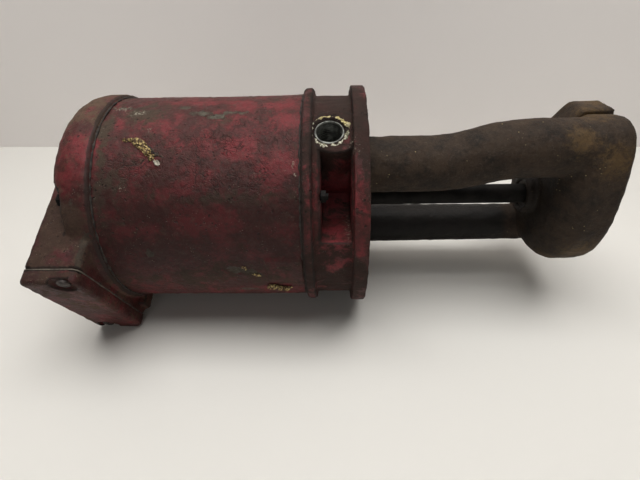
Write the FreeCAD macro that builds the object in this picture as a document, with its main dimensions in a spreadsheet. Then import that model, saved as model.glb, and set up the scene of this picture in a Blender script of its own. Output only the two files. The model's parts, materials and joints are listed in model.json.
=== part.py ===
import FreeCAD, Part
import Sketcher
import math
import os
import re

# Vertical immersion coolant pump, modelled as it is installed: motor on top, pump at the bottom.
# The origin is the centre of the mounting flange's underside and +Z runs up the shaft.
# The tapped outlet faces -Y and the conduit box faces -X.

Vector = FreeCAD.Vector
doc = FreeCAD.newDocument("CoolantPump")
sheet = doc.addObject("Spreadsheet::Sheet", "Sizes")

driving_sizes = [
    ("flange_radius", 88.4),
    ("flange_thickness", 10.2),
    ("waist_inset", 1.5),
    ("rim_proud", 4.5),
    ("rim_bottom", 38.0),
    ("rim_thickness", 7.5),
    ("spigot_height", 6.0),
    ("cup_inset", 9.9),
    ("hub_radius", 36.0),
    ("slinger_chamber_radius", 20.0),
    ("slinger_chamber_depth", 18.0),
    ("neck_radius", 11.0),
    ("boss_radius", 28.0),
    ("bracket_wall", 8.0),
    ("pocket_floor", 11.6),
    ("pocket_roof", 32.5),
    ("pocket_angle", 47.0),
    ("pocket_corner", 9.0),
    ("bolt_angle", -124.0),
    ("core_wall_angle", 7.0),
    ("mount_hole_radius", 4.5),
    ("mount_circle_radius", 62.0),
    ("outlet_height", 26.4),
    ("outlet_radius", 9.75),
    ("outlet_mouth_radius", 12.0),
    ("outlet_thread_depth", 21.0),
    ("outlet_neck_radius", 8.4),
    ("passage_over", 5.0),
    ("outlet_boss_radius", 19.0),
    ("pipe_radius", 21.0),
    ("passage_radius", 13.5),
    ("pipe_offset", 42.0),
    ("arm_offset", 57.7),
    ("bend_top", -46.0),
    ("bend_bottom", -122.0),
    ("strut_offset", 47.7),
    ("strut_top_radius", 17.8),
    ("strut_foot_radius", 16.6),
    ("volute_radius", 55.0),
    ("volute_growth", 2.5),
    ("volute_shoulder", -158.0),
    ("volute_crown", -142.0),
    ("volute_bottom", -180.5),
    ("volute_bottom_round", 6.5),
    ("arm_radius", 22.0),
    ("scroll_ceiling", -153.0),
    ("scroll_floor", -165.0),
    ("scroll_start_radius", 34.5),
    ("scroll_end_radius", 49.0),
    ("lug_radius", 79.0),
    ("lug_width", 24.0),
    ("lug_angle", -61.6),
    ("throat_radius", 16.0),
    ("throat_height", 8.0),
    ("bush_radius", 11.0),
    ("bush_length", 16.0),
    ("cover_radius", 42.0),
    ("cover_thickness", 7.0),
    ("cover_screw_circle", 37.8),
    ("cover_screw_radius", 2.5),
    ("cover_screw_length", 12.0),
    ("cover_gasket", 0.8),
    ("eye_radius", 14.0),
    ("impeller_radius", 32.0),
    ("impeller_shroud", 2.5),
    ("impeller_gap", 1.0),
    ("impeller_hub_radius", 12.0),
    ("vane_thickness", 2.6),
    ("vane_depth", 7.5),
    ("vane_sweep", 62.0),
    ("shaft_radius", 8.0),
    ("shaft_end_radius", 6.0),
    ("shaft_thread_radius", 4.0),
    ("shaft_shoulder_radius", 11.0),
    ("shaft_core_radius", 12.5),
    ("running_clearance", 0.06),
    ("seat_clearance", 0.03),
    ("key_width", 3.0),
    ("key_length", 8.0),
    ("nut_flats", 13.0),
    ("nut_height", 6.5),
    ("slinger_radius", 17.0),
    ("slinger_height", 8.0),
    ("slinger_hub_wall", 4.0),
    ("slinger_hub_half", 4.0),
    ("slinger_lip", 1.5),
    ("bearing_bore_radius", 8.5),
    ("bearing_radius", 20.0),
    ("bearing_width", 12.0),
    ("bearing_seat", 30.0),
    ("ball_radius", 3.3),
    ("ball_pitch_radius", 14.25),
    ("race_thickness", 3.8),
    ("cage_half_width", 4.6),
    ("upper_bearing_seat", 197.0),
    ("shell_radius", 82.5),
    ("shell_wall", 3.2),
    ("shell_top", 187.0),
    ("louvre_length", 28.0),
    ("louvre_width", 31.0),
    ("louvre_height", 1.6),
    ("louvre_angle", -165.5),
    ("louvre_slot", 2.2),
    ("stator_bottom", 84.0),
    ("stator_length", 65.0),
    ("stator_bore_radius", 44.6),
    ("slot_inset", 18.5),
    ("slot_width", 5.0),
    ("winding_inset", 12.5),
    ("winding_inner_radius", 49.0),
    ("winding_height", 24.0),
    ("air_gap", 0.4),
    ("end_ring_height", 8.0),
    ("end_ring_inner_radius", 28.0),
    ("fan_blade_height", 9.0),
    ("through_bolt_inset", 6.6),
    ("through_bolt_radius", 2.4),
    ("through_bolt_head_height", 3.6),
    ("bolt_hole_clearance", 0.3),
    ("bell_proud", 2.9),
    ("bell_top", 220.5),
    ("bell_shoulder", 22.0),
    ("bell_wall", 6.0),
    ("bell_ledge", 209.0),
    ("ledge_radius", 10.4),
    ("box_proud", 3.9),
    ("box_width", 105.6),
    ("box_bottom", 192.6),
    ("box_top", 231.0),
    ("box_end_round", 9.0),
    ("box_wall", 6.0),
    ("box_inner_wall", 7.0),
    ("box_edge", 5.0),
    ("box_gasket", 0.8),
    ("lid_thickness", 9.6),
    ("lid_edge", 3.0),
    ("lid_recess", 5.0),
    ("lid_screw_inset", 6.0),
    ("lid_screw_z", 8.8),
    ("lid_screw_radius", 2.4),
    ("lid_screw_head_radius", 4.4),
    ("lid_screw_head_height", 3.2),
    ("lid_screw_length", 16.0),
    ("lid_scoop_radius", 8.5),
    ("lid_scoop_depth", 3.4),
    ("conduit_radius", 9.75),
    ("conduit_rise", 14.4),
    ("conduit_inset", 13.0),
    ("post_margin", 4.0),
    ("lead_hole_radius", 5.5),
    ("lead_hole_drop", 5.5),
    ("lead_hole_offset", 32.0),
    ("grommet_lip", 2.0),
    ("edge_round", 0.8),
    ("lug_round", 3.0),
    ("screw_flats", 8.0),
    ("cover_screw_head", 3.6),
    ("through_bolt_nut_height", 3.4),
    ("washer_width", 4.0),
    ("washer_thickness", 1.2),
    ("washer_gap", 0.2),
    ("fan_blade_length", 11.0),
    ("fan_blade_thickness", 2.4),
    ("turns_chamfer", 6.0),
    ("cage_thickness", 2.4),
    ("cage_pocket_clearance", 0.2),
    ("terminal_length", 16.0),
    ("terminal_width", 44.0),
    ("terminal_height", 9.0),
    ("terminal_pitch", 14.0),
    ("terminal_rib", 2.0),
    ("terminal_rib_height", 4.0),
    ("terminal_screw_radius", 3.0),
    ("foot_length", 20.0),
    ("foot_width", 12.0),
    ("foot_start", 84.0),
]

# Sizes that follow from others: what stands proud of the motor shell or is set into it

worked_out_sizes = [
    ("waist_radius", "shell_radius - waist_inset"),
    ("rim_radius", "shell_radius + rim_proud"),
    ("cup_radius", "shell_radius - cup_inset"),
    ("slot_outer_radius", "shell_radius - slot_inset"),
    ("winding_radius", "shell_radius - winding_inset"),
    ("through_bolt_circle", "shell_radius - through_bolt_inset"),
    ("bell_radius", "shell_radius + bell_proud"),
    ("box_reach", "bell_radius + box_proud"),
]

balls_per_bearing = 8
slot_count = 24
vane_count = 6
cover_screw_count = 4
bolt_count = 3
fan_blade_count = 8

named_sizes = [(alias, str(number)) for alias, number in driving_sizes]
named_sizes += [(alias, "=" + formula) for alias, formula in worked_out_sizes]
for row, (alias, content) in enumerate(named_sizes, start=1):
    cell = "B" + str(row)
    sheet.set("A" + str(row), alias)
    sheet.set(cell, content)
    sheet.setAlias(cell, alias)
doc.recompute()

nodes = []


def tied(text):
    """Writes a formula of sheet names as an expression that other objects can hold."""
    return re.sub(r"\b([a-z]+_\w+)\b", r"Sizes.\1", str(text))


def amount(text):
    """The number that a formula of sheet names gives now."""
    return float(sheet.evalExpression(str(text)))


def node(thing, label):
    """Marks a finished object as a sub-part of the pump."""
    thing.Label = label
    nodes.append(thing)
    return thing


def place(thing, x="0", y="0", z="0"):
    """Ties the position of an object to the sheet."""
    for axis_name, text in (("x", x), ("y", y), ("z", z)):
        thing.setExpression("Placement.Base." + axis_name, tied(text))
    return thing


def turn(thing, angle, axis=Vector(0, 0, 1)):
    """Turns an object about an axis through the origin by a formula in degrees."""
    thing.Placement = FreeCAD.Placement(Vector(), FreeCAD.Rotation(axis, 1.0))
    thing.setExpression("Placement.Rotation.Angle", tied(angle))
    return thing


def plane_of(body, role):
    """One of a body's own origin planes."""
    return next(item for item in body.Origin.OriginFeatures if item.Role == role)


def outline_sketch(body, role, corners, offset="0"):
    """Draws a closed outline of straight lines whose corners are tied to the sheet."""
    sketch = body.newObject("Sketcher::SketchObject", "Outline")
    sketch.AttachmentSupport = [(plane_of(body, role), "")]
    sketch.MapMode = "FlatFace"
    sketch.setExpression("AttachmentOffset.Base.z", tied(offset))
    spots = [Vector(amount(across), amount(up), 0) for across, up in corners]
    count = len(spots)
    for index in range(count):
        sketch.addGeometry(Part.LineSegment(spots[index], spots[(index + 1) % count]), False)
    for index in range(count):
        sketch.addConstraint(Sketcher.Constraint("Coincident", index, 2, (index + 1) % count, 1))
    for index, (across, up) in enumerate(corners):
        for kind, text in (("DistanceX", across), ("DistanceY", up)):
            rule = sketch.addConstraint(Sketcher.Constraint(kind, -1, 1, index, 1, amount(text)))
            sketch.setExpression("Constraints[%d]" % rule, tied(text))
    return sketch


def turned(name, corners):
    """A body turned about the shaft's axis from corners given as (radius, height)."""
    body = doc.addObject("PartDesign::Body", name)
    sketch = outline_sketch(body, "XZ_Plane", corners)
    lathe = body.newObject("PartDesign::Revolution", "Turning")
    lathe.Profile = sketch
    lathe.ReferenceAxis = (sketch, ["V_Axis"])
    lathe.Angle = 360
    doc.recompute()
    return body


def ring(name, inner, outer, bottom, top):
    """A turned ring of rectangular section."""
    return turned(name, [(inner, bottom), (outer, bottom), (outer, top), (inner, top)])


def round_circles(body, circles, radius):
    """Rounds the edges of a turned body that lie on the circles given as (radius, height)."""
    base = body.Tip
    names = []
    for number, edge in enumerate(base.Shape.Edges, start=1):
        if not isinstance(edge.Curve, Part.Circle):
            continue
        for ring_radius, height in circles:
            same_radius = abs(edge.Curve.Radius - amount(ring_radius)) < 0.01
            if same_radius and abs(edge.Curve.Center.z - amount(height)) < 0.01:
                names.append("Edge%d" % number)
    fillet = body.newObject("PartDesign::Fillet", "Rounding")
    fillet.Base = (base, names)
    fillet.Radius = amount(radius)
    fillet.setExpression("Radius", tied(radius))
    doc.recompute()
    return body


def cylinder(radius, height, x="0", y="0", z="0", angle=None):
    """An upright cylinder, or a sector of one where an angle is given."""
    thing = doc.addObject("Part::Cylinder", "Cylinder")
    thing.setExpression("Radius", tied(radius))
    thing.setExpression("Height", tied(height))
    if angle is not None:
        thing.setExpression("Angle", tied(angle))
    return place(thing, x, y, z)


def lying_cylinder(radius, height, axis, x="0", y="0", z="0"):
    """A cylinder whose own axis points along the given row axis, from its base point."""
    thing = doc.addObject("Part::Cylinder", "Cylinder")
    thing.Placement = FreeCAD.Placement(Vector(), FreeCAD.Rotation(Vector(0, 0, 1), axis))
    thing.setExpression("Radius", tied(radius))
    thing.setExpression("Height", tied(height))
    return place(thing, x, y, z)


def cone(bottom_radius, top_radius, height, x="0", y="0", z="0"):
    """An upright cone."""
    thing = doc.addObject("Part::Cone", "Cone")
    thing.setExpression("Radius1", tied(bottom_radius))
    thing.setExpression("Radius2", tied(top_radius))
    thing.setExpression("Height", tied(height))
    return place(thing, x, y, z)


def block(length, width, height, x, y, z):
    """A box from its lowest corner."""
    thing = doc.addObject("Part::Box", "Block")
    thing.setExpression("Length", tied(length))
    thing.setExpression("Width", tied(width))
    thing.setExpression("Height", tied(height))
    return place(thing, x, y, z)


def shaped(name, shape):
    """An object whose shape is made with the geometry functions themselves."""
    thing = doc.addObject("Part::Feature", name)
    thing.Shape = shape
    thing.Placement = FreeCAD.Placement()
    return thing


def fused(name, things):
    """One solid from several that meet."""
    thing = doc.addObject("Part::MultiFuse", name)
    thing.Shapes = things
    thing.Refine = True
    doc.recompute()
    return thing


def grouped(name, things):
    """Separate solids kept together under one name."""
    thing = doc.addObject("Part::Compound", name)
    thing.Links = things
    doc.recompute()
    return thing


def cut(name, base, tools):
    """A solid less the tools, which are joined first where there are several."""
    tool = tools[0]
    if len(tools) > 1:
        tool = doc.addObject("Part::MultiFuse", name + "Tools")
        tool.Shapes = tools
    thing = doc.addObject("Part::Cut", name)
    thing.Base = base
    thing.Tool = tool
    thing.Refine = True
    doc.recompute()
    return thing


def rounded(name, base, picks, radius):
    """Rounds the edges of an object that the test function picks."""
    doc.recompute()
    size = amount(radius)
    edges = []
    for number, edge in enumerate(base.Shape.Edges, start=1):
        if picks(edge):
            edges.append((number, size, size))
    thing = doc.addObject("Part::Fillet", name)
    thing.Base = base
    thing.Edges = edges
    doc.recompute()
    return thing


def around(make, count, first_angle="0"):
    """Copies made by a function, evenly spaced about the shaft's axis."""
    copies = []
    for index in range(count):
        angle = "%s + %s" % (first_angle, 360.0 * index / count)
        copies.append(make(angle))
    return copies


def on_circle(radius, angle):
    """The X and Y formulas of a point on a circle about the shaft's axis."""
    return "(%s) * cos(%s)" % (radius, angle), "(%s) * sin(%s)" % (radius, angle)


def hexagon(name, flats, height, x, y, z):
    """A hexagonal prism, such as a nut or a bolt's head."""
    thing = doc.addObject("Part::Prism", name)
    thing.Polygon = 6
    thing.setExpression("Circumradius", tied("(%s) / 2 / cos(30)" % flats))
    thing.setExpression("Height", tied(height))
    return place(thing, x, y, z)


# Pump bracket: the turned head of the casting

rim_top = "(rim_bottom + rim_thickness)"
spigot_top = "(rim_bottom + rim_thickness + spigot_height)"
shell_bore = "(shell_radius - shell_wall)"
spigot_radius = "(shell_radius - shell_wall - seat_clearance)"
bearing_top = "(bearing_seat + bearing_width)"
bearing_pocket = "(bearing_radius + seat_clearance)"

head = turned("BracketHead", [
    ("slinger_chamber_radius", "0"),
    ("flange_radius", "0"),
    ("flange_radius", "flange_thickness"),
    ("waist_radius", "flange_thickness"),
    ("waist_radius", "rim_bottom"),
    ("rim_radius", "rim_bottom"),
    ("rim_radius", rim_top),
    (spigot_radius, rim_top),
    (spigot_radius, spigot_top),
    ("cup_radius", spigot_top),
    ("cup_radius", "rim_bottom"),
    ("boss_radius", "rim_bottom"),
    ("boss_radius", bearing_top),
    (bearing_pocket, bearing_top),
    (bearing_pocket, "bearing_seat"),
    ("neck_radius", "bearing_seat"),
    ("neck_radius", "slinger_chamber_depth"),
    ("slinger_chamber_radius", "slinger_chamber_depth"),
])
round_circles(head, [("flange_radius", "0"), ("flange_radius", "flange_thickness")], "edge_round")


def bolt_pocket(angle):
    """A wrench pocket in the waist, with rounded inner corners."""
    height = "pocket_roof - pocket_floor"
    sector = cylinder("flange_radius + 10", height, z="pocket_floor", angle="pocket_angle")
    core = cylinder("hub_radius", "pocket_roof - pocket_floor + 2", z="pocket_floor - 1")
    wedge = cut("PocketWedge", sector, [core])

    def inner_corner(edge):
        ends = [vertex.Point for vertex in edge.Vertexes]
        if len(ends) < 2 or abs(ends[0].z - ends[1].z) < 1:
            return False
        return all(math.hypot(end.x, end.y) < amount("hub_radius + 1") for end in ends)

    pocket = rounded("Pocket", wedge, inner_corner, "pocket_corner")
    return turn(pocket, "%s - pocket_angle / 2" % angle)


def underside_core(angle):
    """A cored hollow between two pockets, open at the flange's underside."""
    width = "(120 - pocket_angle - 2 * core_wall_angle)"
    height = "(pocket_roof - bracket_wall + 4)"
    sector = cylinder("waist_radius - bracket_wall", height + " + 2", z="-2", angle=width)
    hub = cylinder("hub_radius", height + " + 6", z="-4")
    hollow = cut("Core", sector, [hub])
    return turn(hollow, "%s + pocket_angle / 2 + core_wall_angle" % angle)


pockets = around(bolt_pocket, bolt_count, "bolt_angle")
cores = around(underside_core, bolt_count, "bolt_angle")
lantern = cut("Lantern", head, pockets + cores)

# Discharge pipe: straight runs joined by tangent arcs, swung out to clear the impeller casing


def pipe_run(radius, bottom, top):
    """A round bar along the discharge pipe's route between two heights."""
    near = amount("pipe_offset")
    far = amount("arm_offset")
    bend_top = amount("bend_top")
    bend_bottom = amount("bend_bottom")
    swing = far - near
    fall = bend_top - bend_bottom
    half = math.atan2(swing, fall)
    bow = fall / (2 * math.sin(2 * half))
    middle = Vector(0, -(near + swing / 2), (bend_top + bend_bottom) / 2)
    upper_centre = Vector(0, -(near + bow), bend_top)
    lower_centre = Vector(0, -(far - bow), bend_bottom)
    upper_mid = upper_centre + Vector(0, math.cos(half), -math.sin(half)) * bow
    lower_mid = lower_centre + Vector(0, -math.cos(half), math.sin(half)) * bow
    start = Vector(0, -near, top)
    upper = Vector(0, -near, bend_top)
    lower = Vector(0, -far, bend_bottom)
    end = Vector(0, -far, bottom)
    route = Part.Wire([
        Part.LineSegment(start, upper).toShape(),
        Part.Arc(upper, upper_mid, middle).toShape(),
        Part.Arc(middle, lower_mid, lower).toShape(),
        Part.LineSegment(lower, end).toShape(),
    ])
    section = Part.Wire([Part.makeCircle(radius, start, Vector(0, 0, -1))])
    return route.makePipeShell([section], True, False)


pipe = shaped("DischargePipe", pipe_run(amount("pipe_radius"), amount("volute_shoulder - 8"),
                                        amount("rim_bottom - 1")))
passage = shaped("DischargePassage", pipe_run(amount("passage_radius"), amount("scroll_ceiling - 4"),
                                              amount("outlet_height + passage_over")))

# Impeller casing: a rounded hull round the body, the growing scroll and the discharge arm


def casing_outline(inset, height):
    """A closed smooth outline, found from how far the casing reaches in each direction."""
    sharpness = 3.0
    body = amount("volute_radius") - inset
    growth = amount("volute_growth")
    arm = amount("arm_radius") - inset
    far = amount("arm_offset")
    count = 40

    def reach(turn_angle):
        swirl = 0.5 + 0.5 * math.cos(turn_angle + math.radians(55))
        first = body + growth * swirl
        second = arm + far * math.cos(turn_angle + math.pi / 2)
        high = max(first, second)
        spread = math.exp((first - high) / sharpness) + math.exp((second - high) / sharpness)
        return high + sharpness * math.log(spread)

    points = []
    step = 0.001
    for index in range(count):
        angle = 2 * math.pi * index / count
        level = reach(angle)
        slope = (reach(angle + step) - reach(angle - step)) / (2 * step)
        x = level * math.cos(angle) - slope * math.sin(angle)
        y = level * math.sin(angle) + slope * math.cos(angle)
        points.append(Vector(x, y, height))
    curve = Part.BSplineCurve()
    curve.interpolate(Points=points, PeriodicFlag=True)
    return Part.Wire([curve.toShape()])


def casing_solid():
    """The casing's outer form: a stack of outlines with a rounded foot and a domed crown."""
    shoulder = amount("volute_shoulder")
    bottom = amount("volute_bottom")
    rise = amount("volute_crown") - shoulder
    foot = amount("volute_bottom_round")
    rings = []
    for degrees in (0, 30, 60, 90):
        angle = math.radians(degrees)
        rings.append(casing_outline(foot * (1 - math.sin(angle)), bottom + foot * (1 - math.cos(angle))))
    for inset, share in ((0.0, 0.0), (1.5, 0.22), (4.0, 0.42), (7.0, 0.6), (11.5, 0.79), (20.0, 1.0)):
        rings.append(casing_outline(inset, shoulder + rise * share))
    return Part.makeLoft(rings, True, True)


def scroll_hollow():
    """The water space: a spiral that widens towards the discharge, and the way into the arm."""
    floor = amount("scroll_floor")
    depth = amount("scroll_ceiling") - floor
    start_radius = amount("scroll_start_radius")
    end_radius = amount("scroll_end_radius")
    start_angle = 215.0
    sweep = 270.0
    count = 12
    points = []
    for index in range(count + 1):
        share = index / count
        angle = math.radians(start_angle - sweep * share)
        radius = start_radius + (end_radius - start_radius) * share
        points.append(Vector(radius * math.cos(angle), radius * math.sin(angle), floor))
    curve = Part.BSplineCurve()
    curve.interpolate(points)
    first = points[0]
    last = points[-1]
    arm_centre = Vector(0, -amount("arm_offset"), floor)
    arm_reach = amount("passage_radius")
    outer_corner = arm_centre + Vector(0, -arm_reach, 0)
    inner_corner = arm_centre + Vector(-arm_reach, 0, 0)
    tongue = Vector(first.x * 0.55, first.y * 1.25, floor)
    outline = Part.Wire([
        curve.toShape(),
        Part.Arc(last, (last + outer_corner) * 0.5 + Vector(3.0, -3.0, 0), outer_corner).toShape(),
        Part.Arc(outer_corner, arm_centre + Vector(-arm_reach, -arm_reach, 0) * math.sqrt(0.5),
                 inner_corner).toShape(),
        Part.LineSegment(inner_corner, tongue).toShape(),
        Part.LineSegment(tongue, first).toShape(),
    ])
    return Part.Face(outline).extrude(Vector(0, 0, depth))


casing = shaped("Casing", casing_solid())
scroll = shaped("Scroll", scroll_hollow())

# A casting lug on the discharge side of the casing

lug_body = doc.addObject("PartDesign::Body", "CasingLug")
lug_sketch = outline_sketch(lug_body, "XZ_Plane", [
    ("volute_radius - 12", "volute_crown - 2"),
    ("volute_radius + 4", "volute_crown - 3"),
    ("lug_radius", "volute_crown - 15"),
    ("lug_radius", "volute_bottom + 1"),
    ("volute_radius - 12", "volute_bottom + 1"),
])
lug_pad = lug_body.newObject("PartDesign::Pad", "Pad")
lug_pad.Profile = lug_sketch
lug_pad.Midplane = True
lug_pad.setExpression("Length", tied("lug_width"))
doc.recompute()
lug_fillet = lug_body.newObject("PartDesign::Fillet", "Rounding")
lug_edges = []
for number, edge in enumerate(lug_pad.Shape.Edges, start=1):
    ends = [vertex.Point for vertex in edge.Vertexes]
    outside = all(end.x > amount("volute_radius") for end in ends)
    along_side = abs(ends[0].y - ends[1].y) < 0.01
    if outside and along_side:
        lug_edges.append("Edge%d" % number)
lug_fillet.Base = (lug_pad, lug_edges)
lug_fillet.setExpression("Radius", tied("lug_round"))
doc.recompute()
turn(lug_body, "lug_angle")

strut = cone("strut_foot_radius", "strut_top_radius", "-volute_shoulder + 1",
             y="strut_offset", z="volute_shoulder")
throat = cylinder("throat_radius", "throat_height + 12", z="volute_crown - 12")
outlet_boss = lying_cylinder("outlet_boss_radius", "waist_radius - pipe_offset - 1", Vector(0, -1, 0),
                             y="-pipe_offset", z="outlet_height - 4")
outlet_pad = cut("OutletPad", outlet_boss, [
    block("80", "80", "20", "-40", "-pipe_offset - 60", "-20"),
    block("80", "80", "20", "-40", "-pipe_offset - 60", "rim_bottom - 0.5"),
])

solid_bracket = fused("SolidBracket", [lantern, pipe, casing, lug_body, strut, throat, outlet_pad])

# Holes and hollows of the bracket

outlet_neck = lying_cylinder("outlet_neck_radius", "waist_radius", Vector(0, -1, 0),
                             y="-pipe_offset", z="outlet_height")
thread_end = "(-waist_radius + outlet_mouth_radius - outlet_radius + outlet_thread_depth)"
outlet_bore = lying_cylinder("outlet_radius", "waist_radius", Vector(0, -1, 0),
                             y=thread_end, z="outlet_height")
outlet_mouth = doc.addObject("Part::Cone", "OutletMouth")
outlet_mouth.Placement = FreeCAD.Placement(Vector(), FreeCAD.Rotation(Vector(0, 0, 1), Vector(0, -1, 0)))
outlet_mouth.setExpression("Radius1", tied("outlet_radius"))
outlet_mouth.setExpression("Radius2", tied("outlet_mouth_radius + 2"))
outlet_mouth.setExpression("Height", tied("outlet_mouth_radius - outlet_radius + 2"))
place(outlet_mouth, y="-waist_radius + outlet_mouth_radius - outlet_radius", z="outlet_height")

chamber = cylinder("scroll_start_radius", "scroll_ceiling - volute_bottom - cover_thickness + 1",
                   z="volute_bottom + cover_thickness - 1")
cover_seat = cylinder("cover_radius + seat_clearance", "cover_thickness + cover_gasket + 5",
                      z="volute_bottom - 5")
bush_bore = cylinder("bush_radius + seat_clearance", "40", z="scroll_ceiling - 1")


def mount_hole(angle):
    x, y = on_circle("mount_circle_radius", angle)
    return cylinder("mount_hole_radius", "flange_thickness + 8", x, y, "-2")


def through_bolt_hole(angle):
    x, y = on_circle("through_bolt_circle", angle)
    radius = "through_bolt_radius + bolt_hole_clearance"
    return cylinder(radius, "rim_bottom + rim_thickness + spigot_height - pocket_roof + 4", x, y,
                    "pocket_roof - 2")


def cover_screw_hole(angle):
    x, y = on_circle("cover_screw_circle", angle)
    depth = "cover_screw_length + 2"
    return cylinder("cover_screw_radius + seat_clearance", depth, x, y, "volute_bottom")


bracket_holes = [outlet_neck, outlet_bore, outlet_mouth, passage, scroll, chamber, cover_seat, bush_bore]
bracket_holes += around(mount_hole, bolt_count, "bolt_angle")
bracket_holes += around(through_bolt_hole, bolt_count, "bolt_angle")
bracket_holes += around(cover_screw_hole, cover_screw_count, "30")
node(cut("Bracket", solid_bracket, bracket_holes), "pump_bracket")

# Throat bush pressed into the casing where the shaft goes in

bush_bottom = "(scroll_ceiling + 1)"
node(ring("ThroatBush", "shaft_radius + running_clearance", "bush_radius",
          bush_bottom, bush_bottom + " + bush_length"), "throat_bush")

# Suction cover, its gasket and screws

seat_level = "(volute_bottom + cover_thickness)"
cover_disc = turned("CoverDisc", [
    ("eye_radius", "volute_bottom"),
    ("cover_radius", "volute_bottom"),
    ("cover_radius", seat_level),
    ("scroll_start_radius - 0.5", seat_level),
    ("scroll_start_radius - 0.5", "scroll_floor"),
    ("eye_radius", "scroll_floor"),
])
round_circles(cover_disc, [("eye_radius", "volute_bottom")], "2.0")
cover_holes = []
for index in range(cover_screw_count):
    x, y = on_circle("cover_screw_circle", "30 + %s" % (360.0 * index / cover_screw_count))
    cover_holes.append(cylinder("cover_screw_radius + bolt_hole_clearance", "cover_thickness + 20", x, y,
                                "volute_bottom - 1"))
node(cut("SuctionCover", cover_disc, cover_holes), "suction_cover")

gasket_ring = ring("GasketRing", "scroll_start_radius", "cover_radius",
                   seat_level, seat_level + " + cover_gasket")
gasket_holes = []
for index in range(cover_screw_count):
    x, y = on_circle("cover_screw_circle", "30 + %s" % (360.0 * index / cover_screw_count))
    gasket_holes.append(cylinder("cover_screw_radius + bolt_hole_clearance", "cover_gasket + 4", x, y,
                                 seat_level + " - 2"))
node(cut("CoverGasket", gasket_ring, gasket_holes), "suction_cover_gasket")


def cover_screw(angle):
    x, y = on_circle("cover_screw_circle", angle)
    head_piece = hexagon("ScrewHead", "screw_flats", "cover_screw_head", x, y,
                         "volute_bottom - cover_screw_head")
    shank = cylinder("cover_screw_radius", "cover_screw_length", x, y, "volute_bottom - 0.2")
    return fused("CoverScrew", [head_piece, shank])


node(grouped("CoverScrews", around(cover_screw, cover_screw_count, "30")), "suction_cover_screws")

# Shaft, from the impeller nut to the upper bearing

impeller_top = "(scroll_ceiling - impeller_gap)"
hub_bottom = "(scroll_ceiling - impeller_gap - impeller_shroud - vane_depth)"
shaft_bottom = "(scroll_ceiling - impeller_gap - impeller_shroud - vane_depth - nut_height - 2)"
upper_bearing_top = "(upper_bearing_seat + bearing_width)"
shaft_bar = turned("ShaftBar", [
    ("0", shaft_bottom),
    ("shaft_thread_radius", shaft_bottom),
    ("shaft_thread_radius", hub_bottom + " + 1"),
    ("shaft_end_radius", hub_bottom + " + 1"),
    ("shaft_end_radius", impeller_top),
    ("shaft_radius", impeller_top),
    ("shaft_radius", "bearing_seat - 4"),
    ("bearing_bore_radius", "bearing_seat - 4"),
    ("bearing_bore_radius", bearing_top),
    ("shaft_shoulder_radius", bearing_top),
    ("shaft_shoulder_radius", "stator_bottom - 8"),
    ("shaft_core_radius", "stator_bottom - 8"),
    ("shaft_core_radius", "stator_bottom + stator_length + 8"),
    ("shaft_shoulder_radius", "stator_bottom + stator_length + 8"),
    ("shaft_shoulder_radius", "upper_bearing_seat"),
    ("bearing_bore_radius", "upper_bearing_seat"),
    ("bearing_bore_radius", upper_bearing_top + " + 2"),
    ("0", upper_bearing_top + " + 2"),
])
keyway = block("key_width", "key_width", "key_length", "-key_width / 2",
               "shaft_end_radius - key_width / 2", impeller_top + " - 1 - key_length")
node(cut("Shaft", shaft_bar, [keyway]), "pump_shaft")

# Impeller with swept vanes under a back shroud


def vane_blank():
    """One swept vane, as thick as stated, drawn out from the hub to the rim by a spiral."""
    inner = amount("impeller_hub_radius") - 2.0
    outer = amount("impeller_radius")
    sweep = math.radians(amount("vane_sweep"))
    half = amount("vane_thickness") / 2
    count = 6
    sides = []
    for side in (1, -1):
        points = []
        for index in range(count + 1):
            share = index / count
            radius = inner + (outer - inner) * share
            angle = sweep * share ** 1.2
            lean = math.atan2(radius * sweep * 1.2 * share ** 0.2, outer - inner)
            across = Vector(-math.sin(angle + lean), math.cos(angle + lean), 0)
            points.append(Vector(radius * math.cos(angle), radius * math.sin(angle), 0)
                          + across * half * side)
        sides.append(points)
    curves = []
    for points in sides:
        curve = Part.BSplineCurve()
        curve.interpolate(points)
        curves.append(curve.toShape())
    caps = [Part.LineSegment(sides[0][0], sides[1][0]).toShape(),
            Part.LineSegment(sides[0][-1], sides[1][-1]).toShape()]
    return Part.Face(Part.Wire(Part.__sortEdges__(curves + caps)))


vane_top = amount("scroll_ceiling - impeller_gap - impeller_shroud") + 0.5
vane_fall = amount("vane_depth") + 0.5
vane_face = vane_blank()
vane_solids = []
for index in range(vane_count):
    vane = vane_face.extrude(Vector(0, 0, -vane_fall))
    vane.translate(Vector(0, 0, vane_top))
    vane.rotate(Vector(), Vector(0, 0, 1), 360.0 * index / vane_count)
    vane_solids.append(vane)
vanes = shaped("Vanes", Part.makeCompound(vane_solids))
impeller_blank = turned("ImpellerBlank", [
    ("shaft_end_radius - 1", hub_bottom),
    ("impeller_hub_radius - 3", hub_bottom),
    ("impeller_hub_radius", "scroll_ceiling - impeller_gap - impeller_shroud - 3"),
    ("impeller_hub_radius + 3", "scroll_ceiling - impeller_gap - impeller_shroud"),
    ("impeller_radius", "scroll_ceiling - impeller_gap - impeller_shroud"),
    ("impeller_radius", impeller_top),
    ("shaft_end_radius - 1", impeller_top),
])
vane_limit = cylinder("impeller_radius", "60", z=hub_bottom + " - 20")
trimmed_vanes = doc.addObject("Part::MultiCommon", "TrimmedVanes")
trimmed_vanes.Shapes = [vanes, vane_limit]
doc.recompute()
impeller_solid = fused("ImpellerSolid", [impeller_blank, trimmed_vanes])
shaft_hole = cylinder("shaft_end_radius + seat_clearance", "60", z=hub_bottom + " - 10")
key_slot = block("key_width + 0.1", "key_width", "60", "-key_width / 2 - 0.05",
                 "shaft_end_radius - key_width / 2", hub_bottom + " - 10")
node(cut("Impeller", impeller_solid, [shaft_hole, key_slot]), "impeller")

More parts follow.
